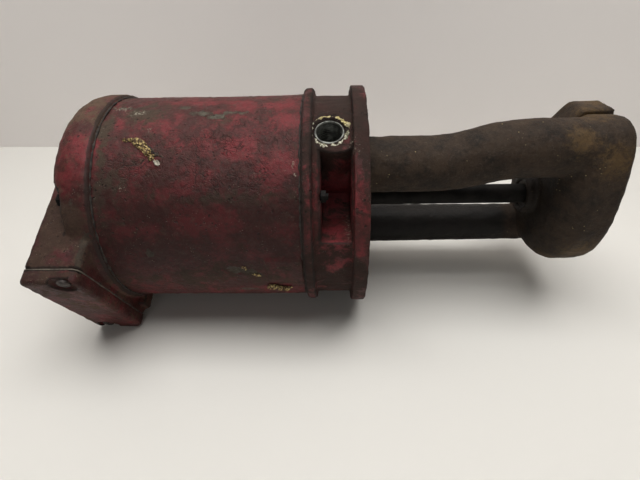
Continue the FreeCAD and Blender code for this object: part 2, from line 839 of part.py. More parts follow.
node(block("key_width", "key_width - 0.05", "key_length", "-key_width / 2",
           "shaft_end_radius - key_width / 2 + 0.02", impeller_top + " - 1 - key_length"),
     "impeller_key")

nut_body = hexagon("NutBody", "nut_flats", "nut_height", "0", "0", hub_bottom + " - nut_height")
nut_bore = cylinder("shaft_thread_radius + seat_clearance", "40", z=hub_bottom + " - 20")
node(cut("ImpellerNut", nut_body, [nut_bore]), "impeller_nut")

# Slinger that throws climbing coolant off the shaft

slinger_hub = "(shaft_radius + slinger_hub_wall)"
node(turned("Slinger", [
    ("shaft_radius + seat_clearance", "slinger_height - slinger_hub_half"),
    (slinger_hub, "slinger_height - slinger_hub_half"),
    (slinger_hub, "slinger_height - slinger_lip"),
    ("slinger_radius", "slinger_height - slinger_lip / 2"),
    ("slinger_radius", "slinger_height + slinger_lip / 2"),
    (slinger_hub, "slinger_height + slinger_lip"),
    (slinger_hub, "slinger_height + slinger_hub_half"),
    ("shaft_radius + seat_clearance", "slinger_height + slinger_hub_half"),
]), "slinger")


def race_ring(inner, outer, face, side, seat):
    """A bearing race: a ring whose face next to the balls carries a groove round their path."""
    face_radius = amount(face)
    pitch = amount("ball_pitch_radius")
    groove = amount("ball_radius + running_clearance")
    bottom = amount(seat)
    top = bottom + amount("bearing_width")
    middle = (bottom + top) / 2
    half = math.sqrt(groove ** 2 - (face_radius - pitch) ** 2)
    far = amount(outer) if side > 0 else amount(inner)
    low = Vector(face_radius, 0, middle - half)
    deep = Vector(pitch + side * groove, 0, middle)
    high = Vector(face_radius, 0, middle + half)
    corners = [Vector(face_radius, 0, top), Vector(far, 0, top),
               Vector(far, 0, bottom), Vector(face_radius, 0, bottom)]
    edges = [Part.Arc(low, deep, high).toShape(),
             Part.LineSegment(high, corners[0]).toShape(),
             Part.LineSegment(corners[0], corners[1]).toShape(),
             Part.LineSegment(corners[1], corners[2]).toShape(),
             Part.LineSegment(corners[2], corners[3]).toShape(),
             Part.LineSegment(corners[3], low).toShape()]
    section = Part.Face(Part.Wire(edges))
    return section.revolve(Vector(), Vector(0, 0, 1), 360)


def ball_bearing(prefix, seat):
    """A deep-groove ball bearing: two races, a ring of balls and its cage."""
    middle = "(%s + bearing_width / 2)" % seat

    outer_face = "(bearing_radius - race_thickness)"
    outer = race_ring(outer_face, "bearing_radius", outer_face, 1, seat)
    node(shaped("OuterRace", outer), prefix + "_bearing_outer_race")
    inner_face = "(bearing_bore_radius + race_thickness)"
    inner = race_ring("bearing_bore_radius + seat_clearance", inner_face, inner_face, -1, seat)
    node(shaped("InnerRace", inner), prefix + "_bearing_inner_race")

    def ball(angle):
        thing = doc.addObject("Part::Sphere", "Ball")
        thing.setExpression("Radius", tied("ball_radius"))
        x, y = on_circle("ball_pitch_radius", angle)
        return place(thing, x, y, middle)

    def cage_pocket(angle):
        drill = lying_cylinder("ball_radius + cage_pocket_clearance", "ball_pitch_radius + cage_thickness",
                               Vector(1, 0, 0), z=middle)
        return turn(grouped("CagePocket", [drill]), angle)

    node(grouped("Balls", around(ball, balls_per_bearing)), prefix + "_bearing_balls")
    cage_ring = ring("CageRing", "ball_pitch_radius - cage_thickness / 2",
                     "ball_pitch_radius + cage_thickness / 2",
                     middle + " - cage_half_width", middle + " + cage_half_width")
    node(cut("Cage", cage_ring, around(cage_pocket, balls_per_bearing)), prefix + "_bearing_cage")


ball_bearing("lower", "bearing_seat")
ball_bearing("upper", "upper_bearing_seat")

# Wave washer that preloads the upper bearing

washer_bottom = upper_bearing_top + " + washer_gap"
node(ring("WaveWasher", "bearing_radius - washer_width", "bearing_radius - bolt_hole_clearance",
          washer_bottom, washer_bottom + " + washer_thickness"), "wave_washer")

# Rotor

stator_top = "(stator_bottom + stator_length)"
rotor_radius = "(stator_bore_radius - air_gap)"
node(ring("RotorCore", "shaft_core_radius + seat_clearance", rotor_radius, "stator_bottom", stator_top),
     "rotor_core")


def end_ring(bottom, blade_bottom):
    """A cast end ring with its fan blades."""
    base = ring("EndRing", "end_ring_inner_radius", rotor_radius + " - 1",
                bottom, bottom + " + end_ring_height")

    def blade(angle):
        thing = block("fan_blade_length", "fan_blade_thickness", "fan_blade_height", "0", "0", "0")
        thing.Placement = FreeCAD.Placement(Vector(), FreeCAD.Rotation(Vector(0, 0, 1), 1.0))
        thing.setExpression("Placement.Rotation.Angle", tied(angle))
        x, y = on_circle("end_ring_inner_radius + 2", angle)
        return place(thing, x, y, blade_bottom)

    return fused("EndRingWithFan", [base] + around(blade, fan_blade_count))


node(grouped("RotorRings", [
    end_ring("(stator_bottom - end_ring_height)", "(stator_bottom - end_ring_height - fan_blade_height)"),
    end_ring(stator_top, "(stator_bottom + stator_length + end_ring_height)"),
]), "rotor_end_rings")

# Stator core with winding slots and notches for the through bolts

stator_radius = "(shell_radius - shell_wall - seat_clearance)"
stator_blank = ring("StatorBlank", "stator_bore_radius", stator_radius, "stator_bottom", stator_top)


def winding_slot(angle):
    thing = block("slot_outer_radius - stator_bore_radius + 4", "slot_width", "stator_length + 2",
                  "0", "0", "0")
    thing.Placement = FreeCAD.Placement(Vector(), FreeCAD.Rotation(Vector(0, 0, 1), 1.0))
    thing.setExpression("Placement.Rotation.Angle", tied(angle))
    along = "stator_bore_radius - 4"
    x = "(%s) * cos(%s) + slot_width / 2 * sin(%s)" % (along, angle, angle)
    y = "(%s) * sin(%s) - slot_width / 2 * cos(%s)" % (along, angle, angle)
    return place(thing, x, y, "stator_bottom - 1")


def bolt_notch(angle):
    x, y = on_circle("through_bolt_circle + 1", angle)
    return cylinder("through_bolt_radius + 1.5", "stator_length + 2", x, y, "stator_bottom - 1")


stator_cuts = around(winding_slot, slot_count) + around(bolt_notch, bolt_count, "bolt_angle")
node(cut("StatorCore", stator_blank, stator_cuts), "stator_core")

# Winding: two end turns joined through the slots



def end_turns(name, near, far, direction):
    """A padded ring of end turns with chamfered outer corners, from its face at the core outwards."""
    slope = "%s - %s * turns_chamfer" % (far, direction)
    return turned(name, [
        ("winding_inner_radius", near),
        ("winding_radius", near),
        ("winding_radius", slope),
        ("winding_radius - turns_chamfer", far),
        ("winding_inner_radius + turns_chamfer", far),
        ("winding_inner_radius", slope),
    ])


lower_turns = end_turns("LowerTurns", "stator_bottom - 0.3", "stator_bottom - winding_height", -1)
upper_turns = end_turns("UpperTurns", stator_top + " + 0.3", stator_top + " + winding_height", 1)


def coil_side(angle):
    thing = block("slot_outer_radius - winding_inner_radius - 0.8", "slot_width - 0.6",
                  "stator_length + 4", "0", "0", "0")
    thing.Placement = FreeCAD.Placement(Vector(), FreeCAD.Rotation(Vector(0, 0, 1), 1.0))
    thing.setExpression("Placement.Rotation.Angle", tied(angle))
    half = "(slot_width - 0.6) / 2"
    x = "(winding_inner_radius + 0.4) * cos(%s) + %s * sin(%s)" % (angle, half, angle)
    y = "(winding_inner_radius + 0.4) * sin(%s) - %s * cos(%s)" % (angle, half, angle)
    return place(thing, x, y, "stator_bottom - 2")


node(fused("Winding", [lower_turns, upper_turns] + around(coil_side, slot_count)), "stator_winding")

# Motor shell with a pressed drain louvre near its lower end

shell_tube = ring("ShellTube", shell_bore, "shell_radius", rim_top, "shell_top")


def sector_plate(inner, outer, bottom, height, width, middle_angle):
    """A plate wrapped round the shell."""
    angle = "%s / shell_radius * 180 / pi" % width
    sector = cylinder(outer, height, z=bottom, angle=angle)
    core = cylinder(inner, height + " + 4", z=bottom + " - 2")
    plate = cut("SectorPlate", sector, [core])
    return turn(plate, "%s - (%s) / 2" % (middle_angle, angle))


louvre_plate = sector_plate("shell_radius - 1", "shell_radius + louvre_height", rim_top + " + 0.6",
                            "louvre_length", "louvre_width", "louvre_angle")
louvre_slit = sector_plate("shell_radius - shell_wall - 3", "shell_radius + 6", rim_top + " + 9",
                           "louvre_length - 9", "louvre_slot", "louvre_angle - 9.6")
louvred_shell = fused("LouvredShell", [shell_tube, louvre_plate])
node(cut("MotorShell", louvred_shell, [louvre_slit]), "motor_shell")

# End bell with the conduit box cast on

bell_form = turned("BellForm", [
    ("0", "shell_top - spigot_height"),
    (spigot_radius, "shell_top - spigot_height"),
    (spigot_radius, "shell_top"),
    ("bell_radius", "shell_top"),
    ("bell_radius", "bell_top"),
    ("0", "bell_top"),
])
round_circles(bell_form, [("bell_radius", "bell_top")], "bell_shoulder")
box_block = block("box_reach", "box_width", "box_top - box_bottom",
                  "-box_reach", "-box_width / 2", "box_bottom")


def long_box_edge(edge):
    return edge.BoundBox.XLength > 10 and edge.BoundBox.YLength < 0.01 and edge.BoundBox.ZLength < 0.01


def box_end_edge(edge):
    box = edge.BoundBox
    return box.XMin > -0.01 and box.YLength > 10 and box.ZMin > amount("box_top") - 0.01


box_end = rounded("BoxEnd", box_block, box_end_edge, "box_end_round")
box_form = rounded("BoxForm", box_end, long_box_edge, "box_edge")
foot_lug = block("foot_length", "foot_width", "box_bottom - shell_top + 1", "-foot_start",
                 "box_width / 2 - foot_width - 4", "shell_top")
bell_casting = fused("BellCasting", [bell_form, box_form, foot_lug])

bell_hollow = turned("BellHollow", [
    ("0", "shell_top - spigot_height - 2"),
    ("cup_radius", "shell_top - spigot_height - 2"),
    ("cup_radius", "shell_top + 4"),
    ("bell_radius - bell_wall", "shell_top + 6"),
    ("bell_radius - bell_wall", "bell_top - bell_wall"),
    ("0", "bell_top - bell_wall"),
])
round_circles(bell_hollow, [("bell_radius - bell_wall", "bell_top - bell_wall")],
              "bell_shoulder - bell_wall")
box_wall_x = "(boss_radius + 1)"
box_keep = block("box_reach + 20", "box_width + 40", "60", "-box_reach - 20 - " + box_wall_x,
                 "-box_width / 2 - 20", "box_bottom")


def bolt_keep(angle):
    """The solid boss round a through bolt, left standing in the bell's hollow."""
    x, y = on_circle("through_bolt_circle", angle)
    return cylinder("ledge_radius + 3", "80", x, y, "shell_top - 10")


upper_boss = cylinder("boss_radius", "60", z="upper_bearing_seat - 4")
hollow_keeps = [box_keep, upper_boss] + around(bolt_keep, bolt_count, "bolt_angle")
hollow_tool = cut("HollowTool", bell_hollow, hollow_keeps)
box_room = block("box_reach - boss_radius - box_inner_wall", "box_width - 2 * box_wall",
                 "box_top - box_bottom - 2 * box_wall", "-box_reach - 1",
                 "-box_width / 2 + box_wall", "box_bottom + box_wall")


def lid_screw_level(sign):
    """The height of a lid screw: the two lie across the box's diagonal."""
    return "((box_top + box_bottom) / 2 + %s * lid_screw_z)" % sign


def lid_screw_side(sign):
    """Where a lid screw stands across the box, set in from the box's own side."""
    return "(%s * (box_width / 2 - lid_screw_inset))" % sign


def screw_post(sign):
    """The boss that carries a lid screw, in the box's corner behind the lid."""
    size = "lid_screw_radius * 4"
    low = "box_bottom" if sign < 0 else lid_screw_level(sign) + " - %s / 2" % size
    high = "box_top" if sign > 0 else lid_screw_level(sign) + " + %s / 2" % size
    return block("lid_screw_length + post_margin", size, "%s - (%s)" % (high, low), "-box_reach - 1.5",
                 lid_screw_side(sign) + " - %s / 2" % size, low)


box_hollow = cut("BoxHollow", box_room, [screw_post(-1), screw_post(1)])


def ledge_cut(angle):
    x, y = on_circle("through_bolt_circle", angle)
    return cylinder("ledge_radius", "box_top - bell_ledge + 5", x, y, "bell_ledge")


def bell_bolt_hole(angle):
    x, y = on_circle("through_bolt_circle", angle)
    return cylinder("through_bolt_radius + bolt_hole_clearance", "box_top - shell_top + 20", x, y,
                    "shell_top - spigot_height - 4")


def side_trim(sign):
    """The upper bell is cut back flush with the box's side from the ledge outwards."""
    x, y = on_circle("through_bolt_circle", "bolt_angle")
    low_y = "box_width / 2" if sign > 0 else "-box_width / 2 - 60"
    return block("box_reach", "60", "60", x + " - box_reach", low_y, "bell_ledge")


bearing_well = cylinder(bearing_pocket, "bearing_width + 1.6", z="upper_bearing_seat")
shaft_well = cylinder("shaft_shoulder_radius + 2", "30", z="upper_bearing_seat - 20")
top_well = cylinder("bearing_bore_radius + 3", "6", z=upper_bearing_top)
lead_level = "((box_top + box_bottom) / 2 - lead_hole_drop)"
lead_hole = lying_cylinder("lead_hole_radius", "30", Vector(-1, 0, 0), x="-boss_radius + 8",
                           y="lead_hole_offset", z=lead_level)
conduit_hole = lying_cylinder("conduit_radius", "40", Vector(0, 1, 0), x="-box_reach + conduit_inset",
                              y="box_width / 2 - box_wall - 0.5", z="box_bottom + conduit_rise")


def lid_screw_hole(sign):
    return lying_cylinder("lid_screw_radius + seat_clearance", "lid_screw_length", Vector(1, 0, 0),
                          x="-box_reach - 1", y=lid_screw_side(sign), z=lid_screw_level(sign))


bell_cuts = [hollow_tool, box_hollow, bearing_well, shaft_well, top_well, lead_hole, conduit_hole]
bell_cuts += around(ledge_cut, bolt_count, "bolt_angle")
bell_cuts += around(bell_bolt_hole, bolt_count, "bolt_angle")
bell_cuts += [lid_screw_hole(-1), lid_screw_hole(1), side_trim(-1), side_trim(1)]
node(cut("EndBell", bell_casting, bell_cuts), "end_bell")

# Gasket, lid and screws of the conduit box

gasket_plate = block("box_gasket", "box_width", "box_top - box_bottom",
                     "-box_reach - box_gasket", "-box_width / 2", "box_bottom")
gasket_form = rounded("GasketForm", gasket_plate, lambda edge: abs(edge.BoundBox.XLength
                                                                   - amount("box_gasket")) < 0.01,
                      "box_edge")


def lid_clear_hole(sign):
    return lying_cylinder("lid_screw_radius + bolt_hole_clearance", "lid_thickness + 10",
                          Vector(-1, 0, 0), x="-box_reach + 2", y=lid_screw_side(sign),
                          z=lid_screw_level(sign))


gasket_window = block("box_gasket + 4", "box_width - 2 * box_wall - 14",
                      "box_top - box_bottom - 2 * box_wall", "-box_reach - box_gasket - 2",
                      "-box_width / 2 + box_wall + 7", "box_bottom + box_wall")
node(cut("BoxGasket", gasket_form, [gasket_window, lid_clear_hole(-1), lid_clear_hole(1)]),
     "box_cover_gasket")

lid_face = "(-box_reach - box_gasket)"
lid_plate = block("lid_thickness", "box_width", "box_top - box_bottom",
                  "-box_reach - box_gasket - lid_thickness", "-box_width / 2", "box_bottom")
lid_corners = rounded("LidCorners", lid_plate, lambda edge: abs(edge.BoundBox.XLength
                                                                - amount("lid_thickness")) < 0.01,
                      "box_edge")


def outer_lid_edge(edge):
    return edge.BoundBox.XMax < amount("-box_reach - box_gasket - lid_thickness") + 0.01


lid_form = rounded("LidForm", lid_corners, outer_lid_edge, "lid_edge")


def lid_scoop(sign):
    """The hollow round a screw's head in the lid's face."""
    return lying_cylinder("lid_scoop_radius", "lid_scoop_depth + 5", Vector(-1, 0, 0),
                          x=lid_face + " - lid_thickness + lid_scoop_depth",
                          y=lid_screw_side(sign), z=lid_screw_level(sign))


lid_room = block("lid_recess", "box_width - 2 * box_wall - 16", "box_top - box_bottom - 2 * box_wall",
                 lid_face + " - lid_recess + 0.01", "-box_width / 2 + box_wall + 8",
                 "box_bottom + box_wall")
lid_cuts = [lid_room, lid_clear_hole(-1), lid_clear_hole(1), lid_scoop(-1), lid_scoop(1)]
node(cut("BoxCover", lid_form, lid_cuts), "box_cover")


def lid_screw(sign):
    seat = lid_face + " - lid_thickness + lid_scoop_depth"
    y = lid_screw_side(sign)
    z = lid_screw_level(sign)
    head_disc = lying_cylinder("lid_screw_head_radius", "lid_screw_head_height", Vector(-1, 0, 0),
                               x=seat, y=y, z=z)
    shank = lying_cylinder("lid_screw_radius", "lid_screw_length + 4", Vector(1, 0, 0),
                           x=seat + " - 0.5", y=y, z=z)
    return fused("LidScrew", [head_disc, shank])


node(grouped("LidScrews", [lid_screw(-1), lid_screw(1)]), "box_cover_screws")

# Through bolts and their nuts


def through_bolt(angle):
    x, y = on_circle("through_bolt_circle", angle)
    head_piece = hexagon("BoltHead", "screw_flats", "through_bolt_head_height", x, y, "bell_ledge")
    shank = cylinder("through_bolt_radius", "bell_ledge - pocket_roof + 6", x, y, "pocket_roof - 5")
    return fused("ThroughBolt", [head_piece, shank])


def through_bolt_nut(angle):
    x, y = on_circle("through_bolt_circle", angle)
    body = hexagon("BoltNut", "screw_flats", "through_bolt_nut_height", x, y,
                   "pocket_roof - through_bolt_nut_height")
    bore = cylinder("through_bolt_radius + seat_clearance", "12", x, y, "pocket_roof - 8")
    return cut("ThroughBoltNut", body, [bore])


node(grouped("ThroughBolts", around(through_bolt, bolt_count, "bolt_angle")), "through_bolts")
node(grouped("ThroughBoltNuts", around(through_bolt_nut, bolt_count, "bolt_angle")),
     "through_bolt_nuts")

# Grommet for the motor leads, terminal block and earth screw in the conduit box

inner_wall_face = "(-boss_radius - 1)"


def grommet_round(radius, length, start):
    """A cylinder on the lead hole's own axis, towards the lid."""
    return lying_cylinder(radius, length, Vector(-1, 0, 0), x=start, y="lead_hole_offset", z=lead_level)


grommet_body = grommet_round("lead_hole_radius + grommet_lip", "box_inner_wall + 2 * grommet_lip",
                             inner_wall_face + " + grommet_lip")
waist_ring = cut("WaistRing", grommet_round("lead_hole_radius + 5", "box_inner_wall", inner_wall_face), [
    grommet_round("lead_hole_radius - seat_clearance", "box_inner_wall + 6", inner_wall_face + " + 3"),
])
grommet_hole = grommet_round("lead_hole_radius - grommet_lip", "box_inner_wall + 20",
                             inner_wall_face + " + 10")
node(cut("LeadGrommet", grommet_body, [waist_ring, grommet_hole]), "lead_grommet")

terminal_x = "(-boss_radius - terminal_length * 2 + 2)"
terminal_y = "(-terminal_width / 2 - 8)"
terminal_z = "(box_bottom + box_wall)"
terminal_base = block("terminal_length", "terminal_width", "terminal_height",
                      terminal_x, terminal_y, terminal_z)
terminal_ribs = [block("terminal_length", "terminal_rib", "terminal_rib_height + 1", terminal_x,
                       terminal_y + " + terminal_pitch * %d" % index,
                       terminal_z + " + terminal_height - 1") for index in range(4)]
node(fused("TerminalBlock", [terminal_base] + terminal_ribs), "terminal_block")


def terminal_screw(index):
    y = terminal_y + " + terminal_rib / 2 + terminal_pitch * (%d + 0.5)" % index
    return cylinder("terminal_screw_radius", "terminal_screw_radius", terminal_x + " + terminal_length / 2",
                    y, terminal_z + " + terminal_height")


node(grouped("TerminalScrews", [terminal_screw(index) for index in range(3)]), "terminal_screws")

doc.recompute()
for thing in doc.Objects:
    if "Invalid" in thing.State or "Error" in thing.State:
        raise RuntimeError("%s did not build" % thing.Label)
for thing in nodes:
    if thing.Shape.isNull() or not thing.Shape.isValid():
        raise RuntimeError("%s has no valid shape" % thing.Label)

os.makedirs("parts", exist_ok=True)
for thing in nodes:
    thing.Shape.exportStep("parts/" + thing.Label + ".step")
    print(thing.Label, len(thing.Shape.Solids), round(thing.Shape.Volume / 1000.0, 2))
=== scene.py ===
import json
import math

import bmesh
import bpy
import numpy as np
from mathutils import Matrix, Vector


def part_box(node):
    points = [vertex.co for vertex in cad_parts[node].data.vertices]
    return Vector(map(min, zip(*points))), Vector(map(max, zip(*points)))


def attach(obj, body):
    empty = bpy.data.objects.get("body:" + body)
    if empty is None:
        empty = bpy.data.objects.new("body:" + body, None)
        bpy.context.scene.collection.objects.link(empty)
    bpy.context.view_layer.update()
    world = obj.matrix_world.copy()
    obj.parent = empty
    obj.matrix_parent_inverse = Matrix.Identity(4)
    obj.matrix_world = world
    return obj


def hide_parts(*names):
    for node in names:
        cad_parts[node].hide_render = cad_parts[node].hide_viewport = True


# Vertical coolant pump, lying on a white table. Lengths are metres unless a name ends in Mm.

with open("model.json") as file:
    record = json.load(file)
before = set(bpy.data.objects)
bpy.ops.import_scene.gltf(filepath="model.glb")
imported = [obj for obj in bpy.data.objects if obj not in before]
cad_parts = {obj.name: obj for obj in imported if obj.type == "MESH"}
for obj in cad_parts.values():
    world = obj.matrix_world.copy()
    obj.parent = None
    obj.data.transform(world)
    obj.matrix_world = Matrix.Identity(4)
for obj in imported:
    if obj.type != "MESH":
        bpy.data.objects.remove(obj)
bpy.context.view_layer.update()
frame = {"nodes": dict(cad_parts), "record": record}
nodes = frame["nodes"]
mm = 0.001
print("frame loaded:", len(nodes), "nodes")


# Camera and stage

cameraLook = {
    "lens": 22.5,
    "sensorWidth": 36.0,
    "nearest": 0.01,
    "place": (-0.19188, -0.28920, 0.02429),
    "right": (0.0064, 0.0346, -0.9994),
    "up": (0.8890, -0.4578, -0.0102),
    "forward": (0.4578, 0.8884, 0.0337),
    "pixelsPerTangent": 400.0,
}
stageLook = {
    "tableUp": (0.4040, -0.9148, 0.0),
    "tableDrop": 0.0886,
    "wallRow": -93.0,
    "wallColumns": (-320.0, 320.0),
    "tableSize": 4.0,
    "tableColour": (0.73, 0.715, 0.675),
    "wallColour": (0.93, 0.89, 0.865),
}
lightLook = {
    "aim": (0.0, 0.0, 0.05),
    "overheadHeight": 1.15,
    "overheadSize": 1.50,
    "overheadPower": 31.0,
    "overheadBack": 0.20,
    "overheadLean": (0.0, 0.0, -0.04),
    "fillHeight": 0.5,
    "fillFront": 1.1,
    "fillPower": 0.9,
    "fillSize": 0.8,
    "worldStrength": 0.09,
    "worldColour": (1.0, 0.985, 0.965),
}


def unit(vector):
    return Vector(vector).normalized()


# A matrix that puts an object at a place, looking along a direction.
def facing(place, direction, upward):
    back = -unit(direction)
    side = Vector(upward).cross(back).normalized()
    top = back.cross(side)
    turn = Matrix((side, top, back)).transposed().to_4x4()
    return Matrix.Translation(place) @ turn


def makeCamera():
    data = bpy.data.cameras.new("viewCamera")
    data.lens = cameraLook["lens"]
    data.sensor_width = cameraLook["sensorWidth"]
    data.clip_start = cameraLook["nearest"]
    camera = bpy.data.objects.new("viewCamera", data)
    bpy.context.scene.collection.objects.link(camera)
    camera.matrix_world = facing(cameraLook["place"], cameraLook["forward"], cameraLook["up"])
    bpy.context.scene.camera = camera


# Where the ray through a point of the view, counted right and down from its centre, meets the table.
def tablePoint(column, row):
    ray = unit(cameraLook["forward"]) * cameraLook["pixelsPerTangent"]
    ray += unit(cameraLook["right"]) * column - unit(cameraLook["up"]) * row
    tableUp = unit(stageLook["tableUp"])
    place = Vector(cameraLook["place"])
    share = (-stageLook["tableDrop"] - place.dot(tableUp)) / ray.dot(tableUp)
    return place + ray * share


# A square plane that faces along sideways cross upwards, and only dresses the picture.
def stagePlane(name, centre, sideways, upwards, size, material):
    half = size / 2
    corners = [centre + sideways * a * half + upwards * b * half
               for a, b in ((-1, -1), (1, -1), (1, 1), (-1, 1))]
    mesh = bpy.data.meshes.new(name)
    mesh.from_pydata([tuple(corner) for corner in corners], [], [(0, 1, 2, 3)])
    mesh.materials.append(material)
    plane = bpy.data.objects.new(name, mesh)
    bpy.context.scene.collection.objects.link(plane)


# A plain matt surface that is clear from behind, so that it never hides the pump.
def oneSidedMaterial(name, colour):
    material = bpy.data.materials.new(name)
    material.use_nodes = True
    tree = material.node_tree
    tree.nodes.clear()
    matt = tree.nodes.new("ShaderNodeBsdfDiffuse")
    matt.inputs["Color"].default_value = (*colour, 1.0)
    clear = tree.nodes.new("ShaderNodeBsdfTransparent")
    side = tree.nodes.new("ShaderNodeNewGeometry")
    mix = tree.nodes.new("ShaderNodeMixShader")
    out = tree.nodes.new("ShaderNodeOutputMaterial")
    tree.links.new(side.outputs["Backfacing"], mix.inputs["Fac"])
    tree.links.new(matt.outputs[0], mix.inputs[1])
    tree.links.new(clear.outputs[0], mix.inputs[2])
    tree.links.new(mix.outputs[0], out.inputs["Surface"])
    return material


def makeStage():
    tableUp = unit(stageLook["tableUp"])
    leftEnd, rightEnd = (tablePoint(column, stageLook["wallRow"]) for column in stageLook["wallColumns"])
    wallFoot = (leftEnd + rightEnd) / 2
    across = (rightEnd - leftEnd).normalized()
    away = tableUp.cross(across)
    size = stageLook["tableSize"]
    stagePlane("tableTop", wallFoot - away * size / 2, across, away, size,
               oneSidedMaterial("tableWhite", stageLook["tableColour"]))
    stagePlane("backWall", wallFoot + tableUp * size / 2, across, tableUp, size,
               oneSidedMaterial("wallWhite", stageLook["wallColour"]))
    return tableUp, away


def areaLight(name, place, target, size, power):
    data = bpy.data.lights.new(name, "AREA")
    data.shape = "DISK"
    data.size = size
    data.energy = power
    data.color = lightLook["worldColour"]
    light = bpy.data.objects.new(name, data)
    bpy.context.scene.collection.objects.link(light)
    light.matrix_world = facing(place, Vector(target) - Vector(place), (0.0, 0.0, 1.0))


def makeLights(tableUp, away):
    centre = Vector(lightLook["aim"])
    overhead = centre + tableUp * lightLook["overheadHeight"] + away * lightLook["overheadBack"]
    overhead += Vector(lightLook["overheadLean"])
    areaLight("overheadLight", overhead, centre, lightLook["overheadSize"], lightLook["overheadPower"])
    fill = centre + tableUp * lightLook["fillHeight"] - away * lightLook["fillFront"]
    areaLight("fillLight", fill, centre, lightLook["fillSize"], lightLook["fillPower"])
    world = bpy.data.worlds.new("roomLight")
    world.use_nodes = True
    background = world.node_tree.nodes["Background"]
    background.inputs["Color"].default_value = (*lightLook["worldColour"], 1.0)
    background.inputs["Strength"].default_value = lightLook["worldStrength"]
    bpy.context.scene.world = world


makeCamera()
makeLights(*makeStage())
bpy.context.scene.view_settings.view_transform = "Standard"
print("camera, table and lights made")


# A material under construction, with short calls for its nodes. Each returns the socket with its result, and
# finish returns the material.
class Recipe:
    def __init__(self, name):
        self.material = bpy.data.materials.new(name)
        self.material.use_nodes = True
        self.tree = self.material.node_tree
        self.tree.nodes.clear()
        self.surface = self.tree.nodes.new("ShaderNodeBsdfPrincipled")
        output = self.tree.nodes.new("ShaderNodeOutputMaterial")
        self.tree.links.new(self.surface.outputs[0], output.inputs["Surface"])
        self.place = self.tree.nodes.new("ShaderNodeTexCoord").outputs["Object"]

    def join(self, source, target):
        if hasattr(source, "links"):
            self.tree.links.new(source, target)
        elif hasattr(source, "__len__"):
            target.default_value = (*source, 1.0) if len(source) == 3 else source
        else:
            target.default_value = source

    def noise(self, scale, detail=4.0, roughness=0.55, distortion=0.0):
        node = self.tree.nodes.new("ShaderNodeTexNoise")
        self.join(self.place, node.inputs["Vector"])
        node.inputs["Scale"].default_value = scale
        node.inputs["Detail"].default_value = detail
        node.inputs["Roughness"].default_value = roughness
        node.inputs["Distortion"].default_value = distortion
        return node.outputs["Fac"]

    # The object's own coordinates, pushed about by a noise.
    def warped(self, scale, amount):
        node = self.tree.nodes.new("ShaderNodeTexNoise")
        self.join(self.place, node.inputs["Vector"])
        node.inputs["Scale"].default_value = scale
        node.inputs["Detail"].default_value = 2.0
        push = self.vector("SUBTRACT", node.outputs["Color"], (0.5, 0.5, 0.5))
        push = self.vector("MULTIPLY", push, (amount, amount, amount))
        return self.vector("ADD", self.place, push)

    def vector(self, operation, first, second):
        node = self.tree.nodes.new("ShaderNodeVectorMath")
        node.operation = operation
        for socket, value in zip(node.inputs, (first, second)):
            if hasattr(value, "links"):
                self.tree.links.new(value, socket)
            else:
                socket.default_value = value
        return node.outputs["Vector"]

    def cells(self, scale, feature="F1", place=None):
        node = self.tree.nodes.new("ShaderNodeTexVoronoi")
        node.feature = feature
        self.join(place or self.place, node.inputs["Vector"])
        node.inputs["Scale"].default_value = scale
        return node.outputs["Distance"]

    # 0 below low, 1 above high and smooth between; high may be the lower one, which turns it round.
    def steps(self, value, low, high):
        node = self.tree.nodes.new("ShaderNodeMapRange")
        node.interpolation_type = "SMOOTHSTEP"
        self.join(value, node.inputs["Value"])
        first, last, start, end = (low, high, 0.0, 1.0) if low < high else (high, low, 1.0, 0.0)
        node.inputs["From Min"].default_value = first
        node.inputs["From Max"].default_value = last
        node.inputs["To Min"].default_value = start
        node.inputs["To Max"].default_value = end
        return node.outputs["Result"]

    def sums(self, operation, first, second):
        node = self.tree.nodes.new("ShaderNodeMath")
        node.operation = operation
        self.join(first, node.inputs[0])
        self.join(second, node.inputs[1])
        return node.outputs[0]

    def times(self, first, second):
        return self.sums("MULTIPLY", first, second)

    def plus(self, first, second):
        return self.sums("ADD", first, second)

    def minus(self, first, second):
        return self.sums("SUBTRACT", first, second)

    def larger(self, first, second):
        return self.sums("MAXIMUM", first, second)

    def mixOf(self, kind, share, first, second, firstInput, output):
        node = self.tree.nodes.new("ShaderNodeMix")
        node.data_type = kind
        self.join(share, node.inputs["Factor"])
        self.join(first, node.inputs[firstInput])
        self.join(second, node.inputs[firstInput + 1])
        return node.outputs[output]

    # The Mix node keeps a colour's inputs and output at 6, 7 and 2, and a number's at 2, 3 and 0.
    def mixed(self, share, first, second):
        return self.mixOf("RGBA", share, first, second, 6, 2)

    def mixedNumber(self, share, first, second):
        return self.mixOf("FLOAT", share, first, second, 2, 0)

    # Lays one colour over another by a share of a mask.
    def over(self, below, mask, share, above):
        return self.mixed(self.times(mask, share), below, above)

    # A number that the mesh carries at each vertex.
    def weight(self, name):
        node = self.tree.nodes.new("ShaderNodeAttribute")
        node.attribute_name = name
        return node.outputs["Fac"]

    def axis(self, letter):
        node = self.tree.nodes.new("ShaderNodeSeparateXYZ")
        self.join(self.place, node.inputs[0])
        return node.outputs[letter]

    def bump(self, height, strength, distance):
        node = self.tree.nodes.new("ShaderNodeBump")
        node.inputs["Strength"].default_value = strength
        node.inputs["Distance"].default_value = distance
        self.join(height, node.inputs["Height"])
        return node.outputs["Normal"]

    def finish(self, colour, roughness, normal=None, metallic=0.0, shine=0.5):
        self.join(colour, self.surface.inputs["Base Color"])
        self.join(roughness, self.surface.inputs["Roughness"])
        self.join(metallic, self.surface.inputs["Metallic"])
        self.surface.inputs["Specular IOR Level"].default_value = shine
        if normal is not None:
            self.join(normal, self.surface.inputs["Normal"])
        return self.material


# Finishes

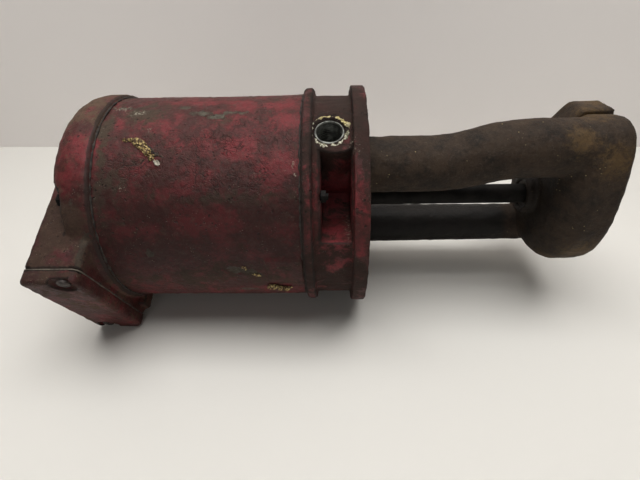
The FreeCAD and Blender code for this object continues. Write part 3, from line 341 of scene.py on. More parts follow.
paintLook = {
    "crimson": (0.158, 0.021, 0.025),
    "maroon": (0.056, 0.0130, 0.0115),
    "film": (0.058, 0.045, 0.031),
    "dust": (0.098, 0.064, 0.042),
    "grime": (0.024, 0.0160, 0.0118),
    # painted shade on the motor's lower side
    "shade": (0.013, 0.0042, 0.0040),
    "dirt": (0.016, 0.011, 0.009),
    "bare": (0.096, 0.096, 0.071),
    "pale": (0.34, 0.31, 0.24),
    "grain": (0.270, 0.105, 0.100),
}
paintNoise = {  # scale, detail, roughness and, where it is bent, distortion
    "clean": (62.0, 8.0, 0.72),
    "film": (58.0, 10.0, 0.78, 0.5),
    "ragged": (190.0, 8.0, 0.76, 0.4),
    "bareTone": (150.0, 6.0, 0.7),
    "worn": (240.0, 8.0, 0.8, 0.3),
    "mottle": (380.0, 7.0, 0.82),
    "crackArea": (70.0, 4.0, 0.6),
    "broken": (260.0, 4.0, 0.7),
    "grain": (760.0, 8.0, 0.85),
    "pitArea": (45.0, 3.0),
    "pale": (620.0, 6.0, 0.8),
    "speckArea": (90.0, 4.0, 0.6),
    "wear": (180.0, 6.0, 0.75),
    "gloss": (600.0, 3.0),
    "fineHeight": (850.0, 4.0, 0.75),
    "coarseHeight": (230.0, 5.0, 0.65),
    "pebbles": (330.0, 7.0, 0.74),
}
paintCells = {"lumps": 150.0, "fine": 330.0, "pits": 230.0, "specks": 620.0}
paintBend = (110.0, 0.0045)  # scale of the noise that pushes the cells about, and how far in metres
paintShares = {  # how far each layer covers what lies under it
    "film": 0.88, "bare": 0.90, "worn": 0.42, "grain": 0.42, "cracks": 0.90, "pits": 0.85, "pale": 0.80,
    "specks": 0.50, "wear": 0.75, "fineCracks": 0.75, "looseGrain": 0.12,
}
paintRamps = {  # the value of its noise, distance or weight where each layer starts, and where it is full
    "clean": (0.43, 0.66), "film": (0.60, 0.71), "bare": (0.42, 0.66), "bareWeight": (0.05, 0.35),
    "bareTone": (0.35, 0.65), "worn": (0.46, 0.70), "mottle": (0.50, 0.64), "crackArea": (0.34, 0.60),
    "broken": (0.36, 0.56), "crack": (0.11, 0.01), "fineCrack": (0.13, 0.01), "grain": (0.54, 0.66),
    "pits": (0.25, 0.11), "pitArea": (0.44, 0.62), "pale": (0.64, 0.72), "paleWeight": (0.12, 0.5),
    "specks": (0.17, 0.08), "speckArea": (0.50, 0.62), "wear": (0.86, 1.20),
}
# How strongly a weight pushes its layer's noise, or a noise its layer's weight
paintPulls = {"clean": 0.17, "film": 0.22, "filmOffClean": 0.15, "ragged": 2.6, "pale": 0.17, "wear": 1.1}
paintHeights = {"fine": 0.35, "coarse": 0.65, "pebbles": 0.9, "cracks": 0.6, "bare": 0.3}
paintRoughness = {"clean": 0.50, "film": 0.78, "gloss": 0.12}
ironLook = {
    "black": (0.012, 0.0088, 0.0066),
    "brown": (0.040, 0.0252, 0.0156),
    "grey": (0.085, 0.062, 0.041),
    "rust": (0.080, 0.032, 0.014),
    "ochre": (0.100, 0.060, 0.023),
    "pale": (0.42, 0.33, 0.16),
    # oil and painted shade
    "oil": (0.0045, 0.0038, 0.0033),
}
ironNoise = {
    "tone": (52.0, 9.0, 0.78),
    "bright": (330.0, 8.0, 0.82, 0.3),
    "rust": (95.0, 8.0, 0.75, 0.6),
    "ochre": (260.0, 9.0, 0.84, 0.3),
    "fleckArea": (60.0, 2.0),
    "pits": (330.0, 6.0, 0.75),
    "gloss": (500.0, 3.0),
    "fineHeight": (700.0, 4.0, 0.75),
    "coarseHeight": (190.0, 5.0, 0.62),
}
ironFlecks = 330.0  # scale of the cells
ironShares = {"bright": 0.75, "rust": 0.55, "ochre": 0.75, "flecks": 0.70, "pits": 0.60, "oil": 0.90}
ironRamps = {
    "tone": (0.34, 0.62), "bright": (0.50, 0.72), "rust": (0.58, 0.74), "ochre": (0.60, 0.84),
    "flecks": (0.16, 0.08), "fleckArea": (0.58, 0.64), "pits": (0.55, 0.72),
}
ochrePull = 0.40
ironHeights = {"fine": 0.4, "coarse": 0.6}
ironRoughness = {"dry": 0.66, "oily": 0.50, "gloss": 0.12}


# Colour, roughness and height of old red paint: clean paint, grime film, painted shade, cracks, bare patches
# and specks.
def paintLayers(recipe, filmShare, mottleShare, filmName):
    look, shares, pulls, heights = paintLook, paintShares, paintPulls, paintHeights
    times, plus, minus, larger = recipe.times, recipe.plus, recipe.minus, recipe.larger
    mixed, over, weight = recipe.mixed, recipe.over, recipe.weight

    def field(name):
        return recipe.noise(*paintNoise[name])

    def ramp(value, name):
        return recipe.steps(value, *paintRamps[name])

    warped = recipe.warped(*paintBend)
    clean = plus(field("clean"), times(weight("crimson"), pulls["clean"]))
    colour = mixed(ramp(clean, "clean"), look["maroon"], look["crimson"])
    filmField = plus(field("film"), times(weight("film"), pulls["film"]))
    filmField = minus(filmField, times(weight("crimson"), pulls["filmOffClean"]))
    filmStart, filmFull = paintRamps["film"]
    film = recipe.steps(filmField, filmStart - filmShare, filmFull - filmShare)
    colour = over(colour, film, shares["film"], look[filmName])
    ragged = times(minus(field("ragged"), 0.5), pulls["ragged"])
    bareField = plus(weight("bare"), ragged)
    bare = times(ramp(bareField, "bare"), ramp(weight("bare"), "bareWeight"))
    bareColour = mixed(ramp(field("bareTone"), "bareTone"), look["bare"], look["film"])
    colour = over(colour, bare, shares["bare"], bareColour)
    # Painted shade on the motor's lower side
    colour = mixed(weight("shade"), colour, look["shade"])
    colour = over(colour, ramp(field("worn"), "worn"), shares["worn"], look[filmName])
    colour = over(colour, ramp(field("mottle"), "mottle"), mottleShare, look["dirt"])
    lumpEdge = recipe.cells(paintCells["lumps"], "DISTANCE_TO_EDGE", warped)
    fineEdge = recipe.cells(paintCells["fine"], "DISTANCE_TO_EDGE", warped)
    crackArea = times(weight("crackle"), ramp(field("crackArea"), "crackArea"))
    broken = ramp(field("broken"), "broken")
    crack = times(times(ramp(lumpEdge, "crack"), crackArea), broken)
    fineCrack = times(times(ramp(fineEdge, "fineCrack"), crackArea), broken)
    cracks = larger(crack, times(fineCrack, shares["fineCracks"]))
    grain = times(ramp(field("grain"), "grain"), plus(crackArea, shares["looseGrain"]))
    colour = over(colour, grain, shares["grain"], look["grain"])
    colour = over(colour, cracks, shares["cracks"], look["dirt"])
    pits = ramp(recipe.cells(paintCells["pits"], "F1", warped), "pits")
    pits = times(pits, ramp(field("pitArea"), "pitArea"))
    colour = over(colour, pits, shares["pits"], look["dirt"])
    paleField = plus(field("pale"), times(weight("pale"), pulls["pale"]))
    pale = times(ramp(paleField, "pale"), ramp(weight("pale"), "paleWeight"))
    colour = over(colour, pale, shares["pale"], look["pale"])
    speckCells = recipe.cells(paintCells["specks"])
    specks = times(ramp(speckCells, "specks"), ramp(field("speckArea"), "speckArea"))
    colour = over(colour, specks, shares["specks"], look["pale"])
    wear = plus(weight("edge"), times(field("wear"), pulls["wear"]))
    colour = over(colour, ramp(wear, "wear"), shares["wear"], look["dirt"])
    roughness = recipe.mixedNumber(film, paintRoughness["clean"], paintRoughness["film"])
    roughness = plus(roughness, times(field("gloss"), paintRoughness["gloss"]))
    fine = times(field("fineHeight"), heights["fine"])
    height = plus(fine, times(field("coarseHeight"), heights["coarse"]))
    pebbles = times(field("pebbles"), times(crackArea, heights["pebbles"]))
    height = plus(height, pebbles)
    height = minus(height, times(larger(cracks, pits), heights["cracks"]))
    height = minus(height, times(bare, heights["bare"]))
    return colour, roughness, height


# Colour, roughness and height of oily rusty cast iron, darkened by oil and painted shade where its oil weight
# is set.
def ironLayers(recipe):
    look, shares = ironLook, ironShares
    times, plus, over, weight = recipe.times, recipe.plus, recipe.over, recipe.weight

    def field(name):
        return recipe.noise(*ironNoise[name])

    def ramp(value, name):
        return recipe.steps(value, *ironRamps[name])

    colour = recipe.mixed(ramp(field("tone"), "tone"), look["black"], look["brown"])
    colour = over(colour, ramp(field("bright"), "bright"), shares["bright"], look["grey"])
    colour = over(colour, ramp(field("rust"), "rust"), shares["rust"], look["rust"])
    ochre = plus(times(weight("ochre"), ochrePull), field("ochre"))
    colour = over(colour, ramp(ochre, "ochre"), shares["ochre"], look["ochre"])
    flecks = times(ramp(recipe.cells(ironFlecks), "flecks"), ramp(field("fleckArea"), "fleckArea"))
    colour = over(colour, flecks, shares["flecks"], look["pale"])
    colour = over(colour, ramp(field("pits"), "pits"), shares["pits"], look["black"])
    # Oil and painted shade: darker, glossier iron
    oil = weight("oil")
    colour = over(colour, oil, shares["oil"], look["oil"])
    roughness = recipe.mixedNumber(oil, ironRoughness["dry"], ironRoughness["oily"])
    roughness = plus(roughness, times(field("gloss"), ironRoughness["gloss"]))
    fine = times(field("fineHeight"), ironHeights["fine"])
    height = plus(fine, times(field("coarseHeight"), ironHeights["coarse"]))
    return colour, roughness, height


paintedLooks = {
    "shellPaint": {"film": 0.06, "mottle": 0.58, "bump": 0.90, "filmName": "film"},
    "bellPaint": {"film": 0.13, "mottle": 0.50, "bump": 0.60, "filmName": "dust"},
    "lidPaint": {"film": 0.10, "mottle": 0.62, "bump": 0.90, "filmName": "dust"},
}
paintShine = 0.22
paintDepth = 0.0009


def paintedMaterial(name, look):
    recipe = Recipe(name)
    colour, roughness, height = paintLayers(recipe, look["film"], look["mottle"], look["filmName"])
    return recipe.finish(colour, roughness, recipe.bump(height, look["bump"], paintDepth), shine=paintShine)


castingFinish = {
    "film": 0.17, "mottle": 0.60, "filmName": "grime", "bump": 0.95, "depth": 0.0011,
    "paintFrom": 0.0006, "paintFull": 0.0016, "edgeNoise": (120.0, 4.0), "edgeSway": 0.003,
}


# Paint on the mounting head, bare iron below its underside and inside its bores.
def bracketMaterial():
    recipe, look = Recipe("bracketCasting"), castingFinish
    paint = paintLayers(recipe, look["film"], look["mottle"], look["filmName"])
    iron = ironLayers(recipe)
    sway = recipe.times(recipe.noise(*look["edgeNoise"]), look["edgeSway"])
    edge = recipe.plus(recipe.axis("Z"), sway)
    painted = recipe.steps(edge, look["paintFrom"], look["paintFull"])
    painted = recipe.times(painted, recipe.weight("outside"))
    colour = recipe.mixed(painted, iron[0], paint[0])
    roughness = recipe.mixedNumber(painted, iron[1], paint[1])
    height = recipe.mixedNumber(painted, iron[2], paint[2])
    bump = recipe.bump(height, look["bump"], look["depth"])
    return recipe.finish(colour, roughness, bump, shine=paintShine)


plainGrain = {  # what all the plain materials share
    "tone": (6.0, 0.65), "toneRamp": (0.35, 0.68), "darkRougher": 0.08,
    "stainFiner": 3.3, "stain": (5.0, 0.7, 0.4), "stainRamp": (0.60, 0.74),
    "fineHeight": (900.0, 3.0), "coarseHeight": (260.0, 3.0), "depth": 0.0004,
}


# A metal, plastic or rubber with two tones, fine grain and stains.
def plainMaterial(name, look):
    recipe, grain = Recipe(name), plainGrain
    tone = recipe.steps(recipe.noise(look["scale"], *grain["tone"]), *grain["toneRamp"])
    colour = recipe.mixed(tone, look["dark"], look["light"])
    stain = recipe.noise(look["scale"] * grain["stainFiner"], *grain["stain"])
    stain = recipe.steps(stain, *grain["stainRamp"])
    colour = recipe.over(colour, stain, look["stainShare"], look["stain"])
    roughness = recipe.mixedNumber(tone, look["rough"] + grain["darkRougher"], look["rough"])
    height = recipe.plus(recipe.times(recipe.noise(*grain["fineHeight"]), 0.5),
                         recipe.times(recipe.noise(*grain["coarseHeight"]), 0.5))
    return recipe.finish(colour, roughness, recipe.bump(height, look["bump"], grain["depth"]),
                         look["metallic"], look.get("shine", 0.5))


plainLooks = {
    # Near black partly as painted shade: the shaft, through bolts and nuts lie in the shade of the pipe and
    # of the pocket.
    "oilySteelAndShade": {
        "dark": (0.003, 0.0026, 0.0022), "light": (0.010, 0.0085, 0.0072),
        "stain": (0.02, 0.011, 0.006), "stainShare": 0.3, "rough": 0.60, "metallic": 0.0,
        "scale": 60.0, "bump": 0.25, "shine": 0.12,
    },
    "threadSteel": {
        "dark": (0.050, 0.050, 0.044), "light": (0.260, 0.270, 0.240),
        "stain": (0.06, 0.045, 0.03), "stainShare": 0.5, "rough": 0.45, "metallic": 0.3,
        "scale": 200.0, "bump": 0.2,
    },
    "screwSteel": {
        "dark": (0.022, 0.016, 0.014), "light": (0.080, 0.062, 0.054),
        "stain": (0.05, 0.02, 0.015), "stainShare": 0.5, "rough": 0.5, "metallic": 0.3,
        "scale": 300.0, "bump": 0.4,
    },
    "bearingSteel": {
        "dark": (0.38, 0.38, 0.39), "light": (0.55, 0.55, 0.56),
        "stain": (0.20, 0.16, 0.12), "stainShare": 0.3, "rough": 0.22, "metallic": 1.0,
        "scale": 120.0, "bump": 0.06,
    },
    "cageBrass": {
        "dark": (0.42, 0.28, 0.10), "light": (0.62, 0.45, 0.20),
        "stain": (0.20, 0.12, 0.05), "stainShare": 0.4, "rough": 0.35, "metallic": 0.9,
        "scale": 150.0, "bump": 0.1,
    },
    "castBronze": {
        "dark": (0.22, 0.13, 0.055), "light": (0.42, 0.27, 0.12),
        "stain": (0.06, 0.09, 0.06), "stainShare": 0.45, "rough": 0.5, "metallic": 0.75,
        "scale": 70.0, "bump": 0.35,
    },
    "oilyBronze": {
        "dark": (0.010, 0.007, 0.005), "light": (0.034, 0.022, 0.012),
        "stain": (0.06, 0.035, 0.015), "stainShare": 0.3, "rough": 0.55, "metallic": 0.0,
        "scale": 90.0, "bump": 0.3, "shine": 0.2,
    },
    "coreSteel": {
        "dark": (0.16, 0.16, 0.17), "light": (0.30, 0.30, 0.31),
        "stain": (0.16, 0.07, 0.03), "stainShare": 0.4, "rough": 0.45, "metallic": 0.8,
        "scale": 90.0, "bump": 0.2,
    },
    "castAluminium": {
        "dark": (0.40, 0.40, 0.41), "light": (0.60, 0.60, 0.61),
        "stain": (0.25, 0.24, 0.23), "stainShare": 0.4, "rough": 0.42, "metallic": 0.85,
        "scale": 80.0, "bump": 0.3,
    },
    "varnishedCopper": {
        "dark": (0.18, 0.06, 0.022), "light": (0.34, 0.13, 0.05),
        "stain": (0.07, 0.03, 0.015), "stainShare": 0.5, "rough": 0.34, "metallic": 0.4,
        "scale": 160.0, "bump": 0.5,
    },
    "gasketFibre": {
        "dark": (0.055, 0.045, 0.036), "light": (0.13, 0.11, 0.085),
        "stain": (0.03, 0.025, 0.02), "stainShare": 0.5, "rough": 0.85, "metallic": 0.0,
        "scale": 200.0, "bump": 0.4,
    },
    "blackRubber": {
        "dark": (0.014, 0.014, 0.014), "light": (0.035, 0.034, 0.033),
        "stain": (0.07, 0.06, 0.05), "stainShare": 0.4, "rough": 0.7, "metallic": 0.0,
        "scale": 140.0, "bump": 0.3,
    },
    "blackPhenolic": {
        "dark": (0.016, 0.015, 0.014), "light": (0.040, 0.037, 0.033),
        "stain": (0.08, 0.07, 0.06), "stainShare": 0.3, "rough": 0.38, "metallic": 0.0,
        "scale": 140.0, "bump": 0.15,
    },
    "seamDirt": {
        "dark": (0.012, 0.009, 0.008), "light": (0.040, 0.030, 0.024),
        "stain": (0.20, 0.14, 0.06), "stainShare": 0.45, "rough": 0.8, "metallic": 0.0,
        "scale": 300.0, "bump": 0.8,
    },
}


crustColours = {
    "yellowCrust": {"light": (0.62, 0.47, 0.20), "dark": (0.10, 0.06, 0.03), "tip": (0.52, 0.49, 0.41)},
    "whiteSealant": {"light": (0.60, 0.57, 0.45), "dark": (0.17, 0.16, 0.10), "tip": (0.62, 0.50, 0.18)},
    # painted shadow beside the streak
    "streakShadowPaint": {"light": (0.055, 0.035, 0.022), "dark": (0.014, 0.009, 0.007), "tip": (0.03, 0.02, 0.015)},
}
crustGrain = {
    "cells": 620.0, "hollows": (0.30, 0.62), "stain": (260.0, 5.0, 0.7), "stainRamp": (0.50, 0.66),
    "stainShare": 0.35, "height": (700.0, 4.0), "rough": 0.82, "bump": 0.9, "depth": 0.0008,
}


# Dried granular deposit with dark hollows between pale grains, also used for the painted shadow beside the
# streak.
def crustMaterial(name, look):
    recipe, grain = Recipe(name), crustGrain
    cells = recipe.cells(grain["cells"])
    colour = recipe.mixed(recipe.steps(cells, *grain["hollows"]), look["light"], look["dark"])
    stain = recipe.steps(recipe.noise(*grain["stain"]), *grain["stainRamp"])
    colour = recipe.over(colour, stain, grain["stainShare"], look["dark"])
    colour = recipe.mixed(recipe.weight("tip"), colour, look["tip"])
    height = recipe.minus(recipe.noise(*grain["height"]), cells)
    return recipe.finish(colour, grain["rough"], recipe.bump(height, grain["bump"], grain["depth"]))


slotMaterials = {
    "bronze": "castBronze", "cover_iron": "coverIron", "gasket_fibre": "gasketFibre",
    "screw_steel": "screwSteel", "shaft_steel": "oilySteelAndShade", "rubber_black": "blackRubber",
    "bearing_steel": "bearingSteel", "brass_cage": "cageBrass", "lamination_steel": "coreSteel",
    "rotor_aluminium": "castAluminium", "copper_winding": "varnishedCopper",
    "red_paint_shell": "shellPaint", "red_paint_bell": "bellPaint", "red_paint_lid": "lidPaint",
    "black_phenolic": "blackPhenolic", "bracket_iron": "bracketCasting",
}
# Pieces whose finish differs from that of their slot
nodeMaterials = {"through_bolts": "oilySteelAndShade", "through_bolt_nuts": "oilySteelAndShade", "throat_bush": "oilyBronze"}


def makeMaterials():
    made = {name: plainMaterial(name, look) for name, look in plainLooks.items()}
    made.update({name: paintedMaterial(name, look) for name, look in paintedLooks.items()})
    made["bracketCasting"] = bracketMaterial()
    cover = Recipe("coverIron")
    colour, roughness, height = ironLayers(cover)
    made["coverIron"] = cover.finish(colour, roughness, cover.bump(height, 0.7, 0.0008))
    made.update({name: crustMaterial(name, look) for name, look in crustColours.items()})
    return made


materials = makeMaterials()
for sub in frame["record"]["subparts"]:
    target = nodes[sub["node"]].data.materials
    target.clear()
    target.append(materials[nodeMaterials.get(sub["node"], slotMaterials[sub["material_slot"]])])
print("materials made:", len(materials))


# Mesh helpers


# Sums sine waves of about one length in random directions, scaled to a spread of about 1.
def waveNoise(points, wavelength, waveCount, seed):
    rng = np.random.default_rng(seed)
    directions = rng.normal(size=(waveCount, 3))
    directions /= np.linalg.norm(directions, axis=1)[:, None]
    rates = 2 * np.pi / wavelength * rng.uniform(0.7, 1.4, waveCount)
    phases = rng.uniform(0, 2 * np.pi, waveCount)
    waves = np.sin(points @ (directions * rates[:, None]).T + phases)
    return waves.sum(axis=1) / math.sqrt(waveCount / 2)


# 0 up to low, 1 from high on, and a smooth ramp between.
def smoothStep(values, low, high):
    share = np.clip((values - low) / (high - low), 0, 1)
    return share * share * (3 - 2 * share)


def addWeights(mesh, weights):
    for name, values in weights.items():
        attribute = mesh.attributes.new(name, "FLOAT", "POINT")
        attribute.data.foreach_set("value", np.ascontiguousarray(values, dtype=np.float32))


# Smooth all over but for edges sharper than the angle in degrees.
def shadeSmooth(mesh, angle):
    mesh.polygons.foreach_set("use_smooth", np.ones(len(mesh.polygons), dtype=bool))
    mesh.set_sharp_from_angle(angle=math.radians(angle))


# Puts a mesh in the scene with its material, the body that it moves with and what it stands for.
def addPiece(name, mesh, material, body, stoodFor=()):
    mesh.materials.clear()
    mesh.materials.append(materials[material])
    piece = bpy.data.objects.new(name, mesh)
    bpy.context.scene.collection.objects.link(piece)
    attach(piece, body)
    if stoodFor:
        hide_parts(*stoodFor)


# A mesh from a grid of points (rows, columns, 3), where each row closes on itself as a loop. The last row
# joins the first where closedAcross is true, and otherwise the first and last are capped.
def gridMesh(name, grid, closedAcross, sharpAngle=40.0):
    rows, columns = grid.shape[:2]
    rowCount = rows if closedAcross else rows - 1
    low = np.arange(rowCount)[:, None]
    high = (low + 1) % rows
    near = np.arange(columns)[None, :]
    far = (near + 1) % columns
    faces = np.stack([low * columns + near, low * columns + far,
                      high * columns + far, high * columns + near], axis=-1).reshape(-1, 4)
    allFaces = faces.tolist()
    if not closedAcross:
        allFaces.append(list(range(columns))[::-1])
        allFaces.append(list(range((rows - 1) * columns, rows * columns)))
    mesh = bpy.data.meshes.new(name)
    mesh.from_pydata(grid.reshape(-1, 3).tolist(), [], allFaces)
    bm = bmesh.new()
    bm.from_mesh(mesh)
    bmesh.ops.recalc_face_normals(bm, faces=bm.faces)
    bm.to_mesh(mesh)
    bm.free()
    shadeSmooth(mesh, sharpAngle)
    return mesh


# Where the paint is bare, clean, cracked, dusty or chalky: the angle round the motor's axis in degrees and
# the height in millimetres, then half the length along the axis, half the width round it, and the strength.
# Some clean spots are painted light: they brighten the pocket under the outlet, which lies in shade.
patches = {
    "bare": [
        (-72.0, 131.0, 6.0, 2.6, 1.0), (-77.5, 117.0, 10.0, 3.6, 1.0), (-80.5, 106.0, 9.0, 3.8, 1.0),
        (-77.0, 97.0, 6.0, 2.8, 0.9), (-77.5, 87.0, 5.0, 4.0, 0.8), (-152.0, 154.0, 2.6, 4.2, 1.1),
        (-163.0, 96.0, 7.0, 4.0, 1.1), (-164.8, 86.5, 7.0, 3.6, 1.1), (-167.4, 79.5, 4.0, 3.0, 1.0),
        (175.5, 91.0, 11.0, 3.0, 1.0), (-70.5, 176.0, 9.0, 3.0, 0.8), (-126.0, 199.0, 1.6, 9.0, 0.5),
        (-60.0, 214.0, 8.0, 6.0, 0.6), (20.0, 110.0, 16.0, 8.0, 1.0), (35.0, 70.0, 9.0, 12.0, 0.9),
        (80.0, 140.0, 12.0, 7.0, 1.0), (120.0, 95.0, 9.0, 9.0, 0.9), (-20.0, 160.0, 12.0, 6.0, 1.0),
        (-35.0, 75.0, 8.0, 5.0, 0.9), (150.0, 160.0, 9.0, 5.0, 0.9),
    ],
    "crimson": [
        (-136.0, 107.0, 22.0, 9.0, 1.0), (-109.0, 62.0, 13.0, 8.0, 1.0), (-101.0, 86.0, 15.0, 8.0, 0.9),
        (-135.0, 121.0, 12.0, 6.0, 0.9), (-84.0, 54.0, 8.0, 7.0, 1.0), (-120.0, 126.0, 9.0, 5.0, 0.9),
        # The spots at 22 to 23 mm near -111 and -122 degrees are painted light in the shaded pocket under the
        # outlet
        (-100.0, 195.0, 9.0, 12.0, 0.9), (-112.0, 199.0, 6.0, 8.0, 1.0), (-111.0, 23.0, 9.0, 10.0, 0.9),
        (-122.0, 22.0, 14.0, 22.0, 1.0), (-122.0, 5.0, 4.0, 10.0, 0.7), (-148.0, 5.0, 4.0, 8.0, 1.0),
        (-163.0, 24.0, 9.0, 8.0, 0.7),
        (-147.0, 22.0, 8.0, 5.0, 0.6), (-72.0, 62.0, 20.0, 6.0, 0.8), (-66.0, 110.0, 30.0, 4.0, 0.8),
        (0.0, 90.0, 25.0, 18.0, 0.8), (60.0, 150.0, 18.0, 14.0, 0.9), (100.0, 70.0, 20.0, 12.0, 0.7),
    ],
    "crackle": [
        (-100.0, 90.0, 55.0, 24.0, 1.0), (-116.0, 95.0, 50.0, 14.0, 0.9), (-84.0, 75.0, 26.0, 16.0, 0.9),
        (-20.0, 100.0, 45.0, 25.0, 0.8), (70.0, 90.0, 40.0, 30.0, 0.9), (140.0, 120.0, 35.0, 20.0, 0.8),
        (-108.0, 155.0, 22.0, 12.0, 0.9), (-95.0, 22.0, 14.0, 12.0, 0.6),
    ],
    "film": [
        (-98.0, 181.0, 5.0, 60.0, 0.8), (-76.0, 160.0, 20.0, 10.0, 0.9), (-170.0, 110.0, 60.0, 16.0, 0.6),
        (-118.0, 168.0, 12.0, 14.0, 0.7), (-124.0, 96.0, 44.0, 6.0, 0.7), (-70.0, 22.0, 14.0, 30.0, 0.9),
        (-100.0, 30.0, 12.0, 12.0, 0.9), (-92.0, 4.0, 6.0, 24.0, 1.0), (-172.0, 22.0, 14.0, 16.0, 0.6),
        (-135.0, 212.0, 16.0, 20.0, 0.7), (-70.0, 205.0, 14.0, 20.0, 0.7), (30.0, 120.0, 40.0, 30.0, 0.6),
        (110.0, 150.0, 30.0, 24.0, 0.7),
    ],
    "pale": [
        (-70.5, 178.0, 10.0, 4.0, 0.9), (-76.0, 164.0, 9.0, 5.0, 0.9), (-88.5, 151.0, 2.0, 3.5, 0.8),
        (-109.0, 50.5, 3.0, 3.0, 0.8), (-114.0, 49.0, 2.0, 2.5, 0.7), (-104.0, 8.0, 4.0, 5.0, 0.8),
        (-99.0, 11.0, 3.0, 5.0, 0.7), (-148.0, 14.0, 4.0, 4.0, 0.6), (-163.5, 88.0, 4.0, 1.5, 0.8),
        (-166.0, 82.0, 2.5, 1.5, 0.8), (-119.0, 166.0, 6.0, 3.0, 0.6),
    ],
}


leastRadiusMm = 60.0  # points nearer the axis count as if they stood here, so that no patch spreads there
# Painted shade on the motor's lower side: its middle and half width in degrees, and the heights in mm where
# it fades in
shadeLook = {"middle": -142.0, "halfWidth": 30.0, "share": 0.62, "fadeFrom": 40.0, "fadeTo": 46.0}


def turnedFrom(angle, middle):
    return (angle - middle + 180.0) % 360.0 - 180.0


# For each kind the strongest of its soft oval spots, e to the minus squared distance along and round the
# motor's axis.
def patchWeights(points):
    angle = np.degrees(np.arctan2(points[:, 1], points[:, 0]))
    heightMm = points[:, 2] / mm
    radiusMm = np.hypot(points[:, 0], points[:, 1]) / mm
    weights = {}
    for kind, spots in patches.items():
        total = np.zeros(len(points))
        for middle, level, halfLength, halfWidth, strength in spots:
            around = np.radians(turnedFrom(angle, middle)) * np.maximum(radiusMm, leastRadiusMm)
            far = ((heightMm - level) / halfLength) ** 2 + (around / halfWidth) ** 2
            total = np.maximum(total, strength * np.exp(-far))
        weights[kind] = total
    # Painted shade on the motor's lower side, fading out below the shell
    turned = turnedFrom(angle, shadeLook["middle"])
    weights["shade"] = shadeLook["share"] * np.exp(-(turned / shadeLook["halfWidth"]) ** 4)
    weights["shade"] *= smoothStep(heightMm, shadeLook["fadeFrom"], shadeLook["fadeTo"])
    return weights


# Motor shell

shellLook = {
    "rows": 128,
    "columns": 470,
    "innerRows": 5,
    "wall": 0.0031,
    "dent": 0.00022,
    "dentWaves": (0.055, 14, 1),  # wavelength, number of waves and seed
    "pebble": 0.00008,
    "pebbleWaves": (0.0055, 26, 2),
    "crack": 0.00022,
    "crackWaves": (0.014, 22, 3),
    "crackWidth": 0.10,
    "chip": 0.00030,
    "chipWaves": (0.006, 20, 4),
    "chipRagged": 0.35,
    "chipRamp": (0.45, 0.6),
    "chipLeast": 0.05,
    "louvreAngle": -165.5,
    "louvreHalfWidth": 0.0155,
    "louvreTop": 0.0741,
    "louvreHeight": 0.0016,
    "louvreEdge": 0.0022,
    "slitAngle": -175.1,
    "slitHalfWidth": 0.0012,
    "slitBottom": 0.0550,
    "slitTop": 0.0730,
    "slitDepth": 0.0024,
    "slitRamp": (-0.0006, 0.0004),
    "slitWear": 0.9,
    "endFade": 0.0015,
    "endWear": 0.4,
}


# The shell as a closed tube: rows run up the outside and down the inside, columns go round the axis.
# The outside stands off its radius by dents and pebbles (wave noise), cracks (narrow grooves where a wave
# noise crosses zero), shallow chips, the raised drain louvre and the slit through it.
def shellPiece():
    look = shellLook
    low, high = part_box("motor_shell")
    outer = high[1]
    angles = np.linspace(0, 2 * np.pi, look["columns"], endpoint=False)
    levels = np.linspace(low[2], high[2], look["rows"])
    angleGrid, levelGrid = np.meshgrid(angles, levels)
    points = np.stack([outer * np.cos(angleGrid), outer * np.sin(angleGrid), levelGrid], axis=-1)
    flat = points.reshape(-1, 3)
    weights = patchWeights(flat)
    relief = look["dent"] * waveNoise(flat, *look["dentWaves"])
    relief += look["pebble"] * waveNoise(flat, *look["pebbleWaves"])
    line = np.exp(-(waveNoise(flat, *look["crackWaves"]) / look["crackWidth"]) ** 2)
    relief -= look["crack"] * line * weights["crackle"]
    ragged = weights["bare"] + look["chipRagged"] * waveNoise(flat, *look["chipWaves"])
    chip = smoothStep(ragged, *look["chipRamp"])
    relief -= look["chip"] * chip * (weights["bare"] > look["chipLeast"])
    degrees = np.degrees(angleGrid.ravel())
    turned = np.radians(turnedFrom(degrees, look["louvreAngle"])) * outer
    raised = smoothStep(look["louvreHalfWidth"] - np.abs(turned), 0.0, look["louvreEdge"])
    raised *= smoothStep(look["louvreTop"] - flat[:, 2], 0.0, look["louvreEdge"])
    relief += look["louvreHeight"] * raised
    slitTurn = np.radians(turnedFrom(degrees, look["slitAngle"])) * outer
    slit = smoothStep(look["slitHalfWidth"] - np.abs(slitTurn), *look["slitRamp"])
    slit *= (flat[:, 2] > look["slitBottom"]) * (flat[:, 2] < look["slitTop"])
    relief -= look["slitDepth"] * slit
    endFade = smoothStep(np.minimum(flat[:, 2] - low[2], high[2] - flat[:, 2]), 0.0, look["endFade"])
    radius = outer + relief * endFade
    outside = np.stack([radius * np.cos(np.radians(degrees)), radius * np.sin(np.radians(degrees)),
                        flat[:, 2]], axis=-1).reshape(points.shape)
    innerLevels = np.linspace(high[2], low[2], look["innerRows"])
    angleGrid, levelGrid = np.meshgrid(angles, innerLevels)
    inner = outer - look["wall"]
    inside = np.stack([inner * np.cos(angleGrid), inner * np.sin(angleGrid), levelGrid], axis=-1)
    mesh = gridMesh("motorShellSkin", np.concatenate([outside, inside]), True)
    extra = look["innerRows"] * look["columns"]
    weights["edge"] = np.maximum(slit * look["slitWear"], look["endWear"] * (1 - endFade))
    addWeights(mesh, {name: np.append(values, np.zeros(extra)) for name, values in weights.items()})
    addPiece("motorShellSkin", mesh, "shellPaint", "pump_frame", ["motor_shell"])


shellPiece()
print("motor shell made")


# Castings: the CAD solid cut into small faces, its edges worn round and its skin made rough

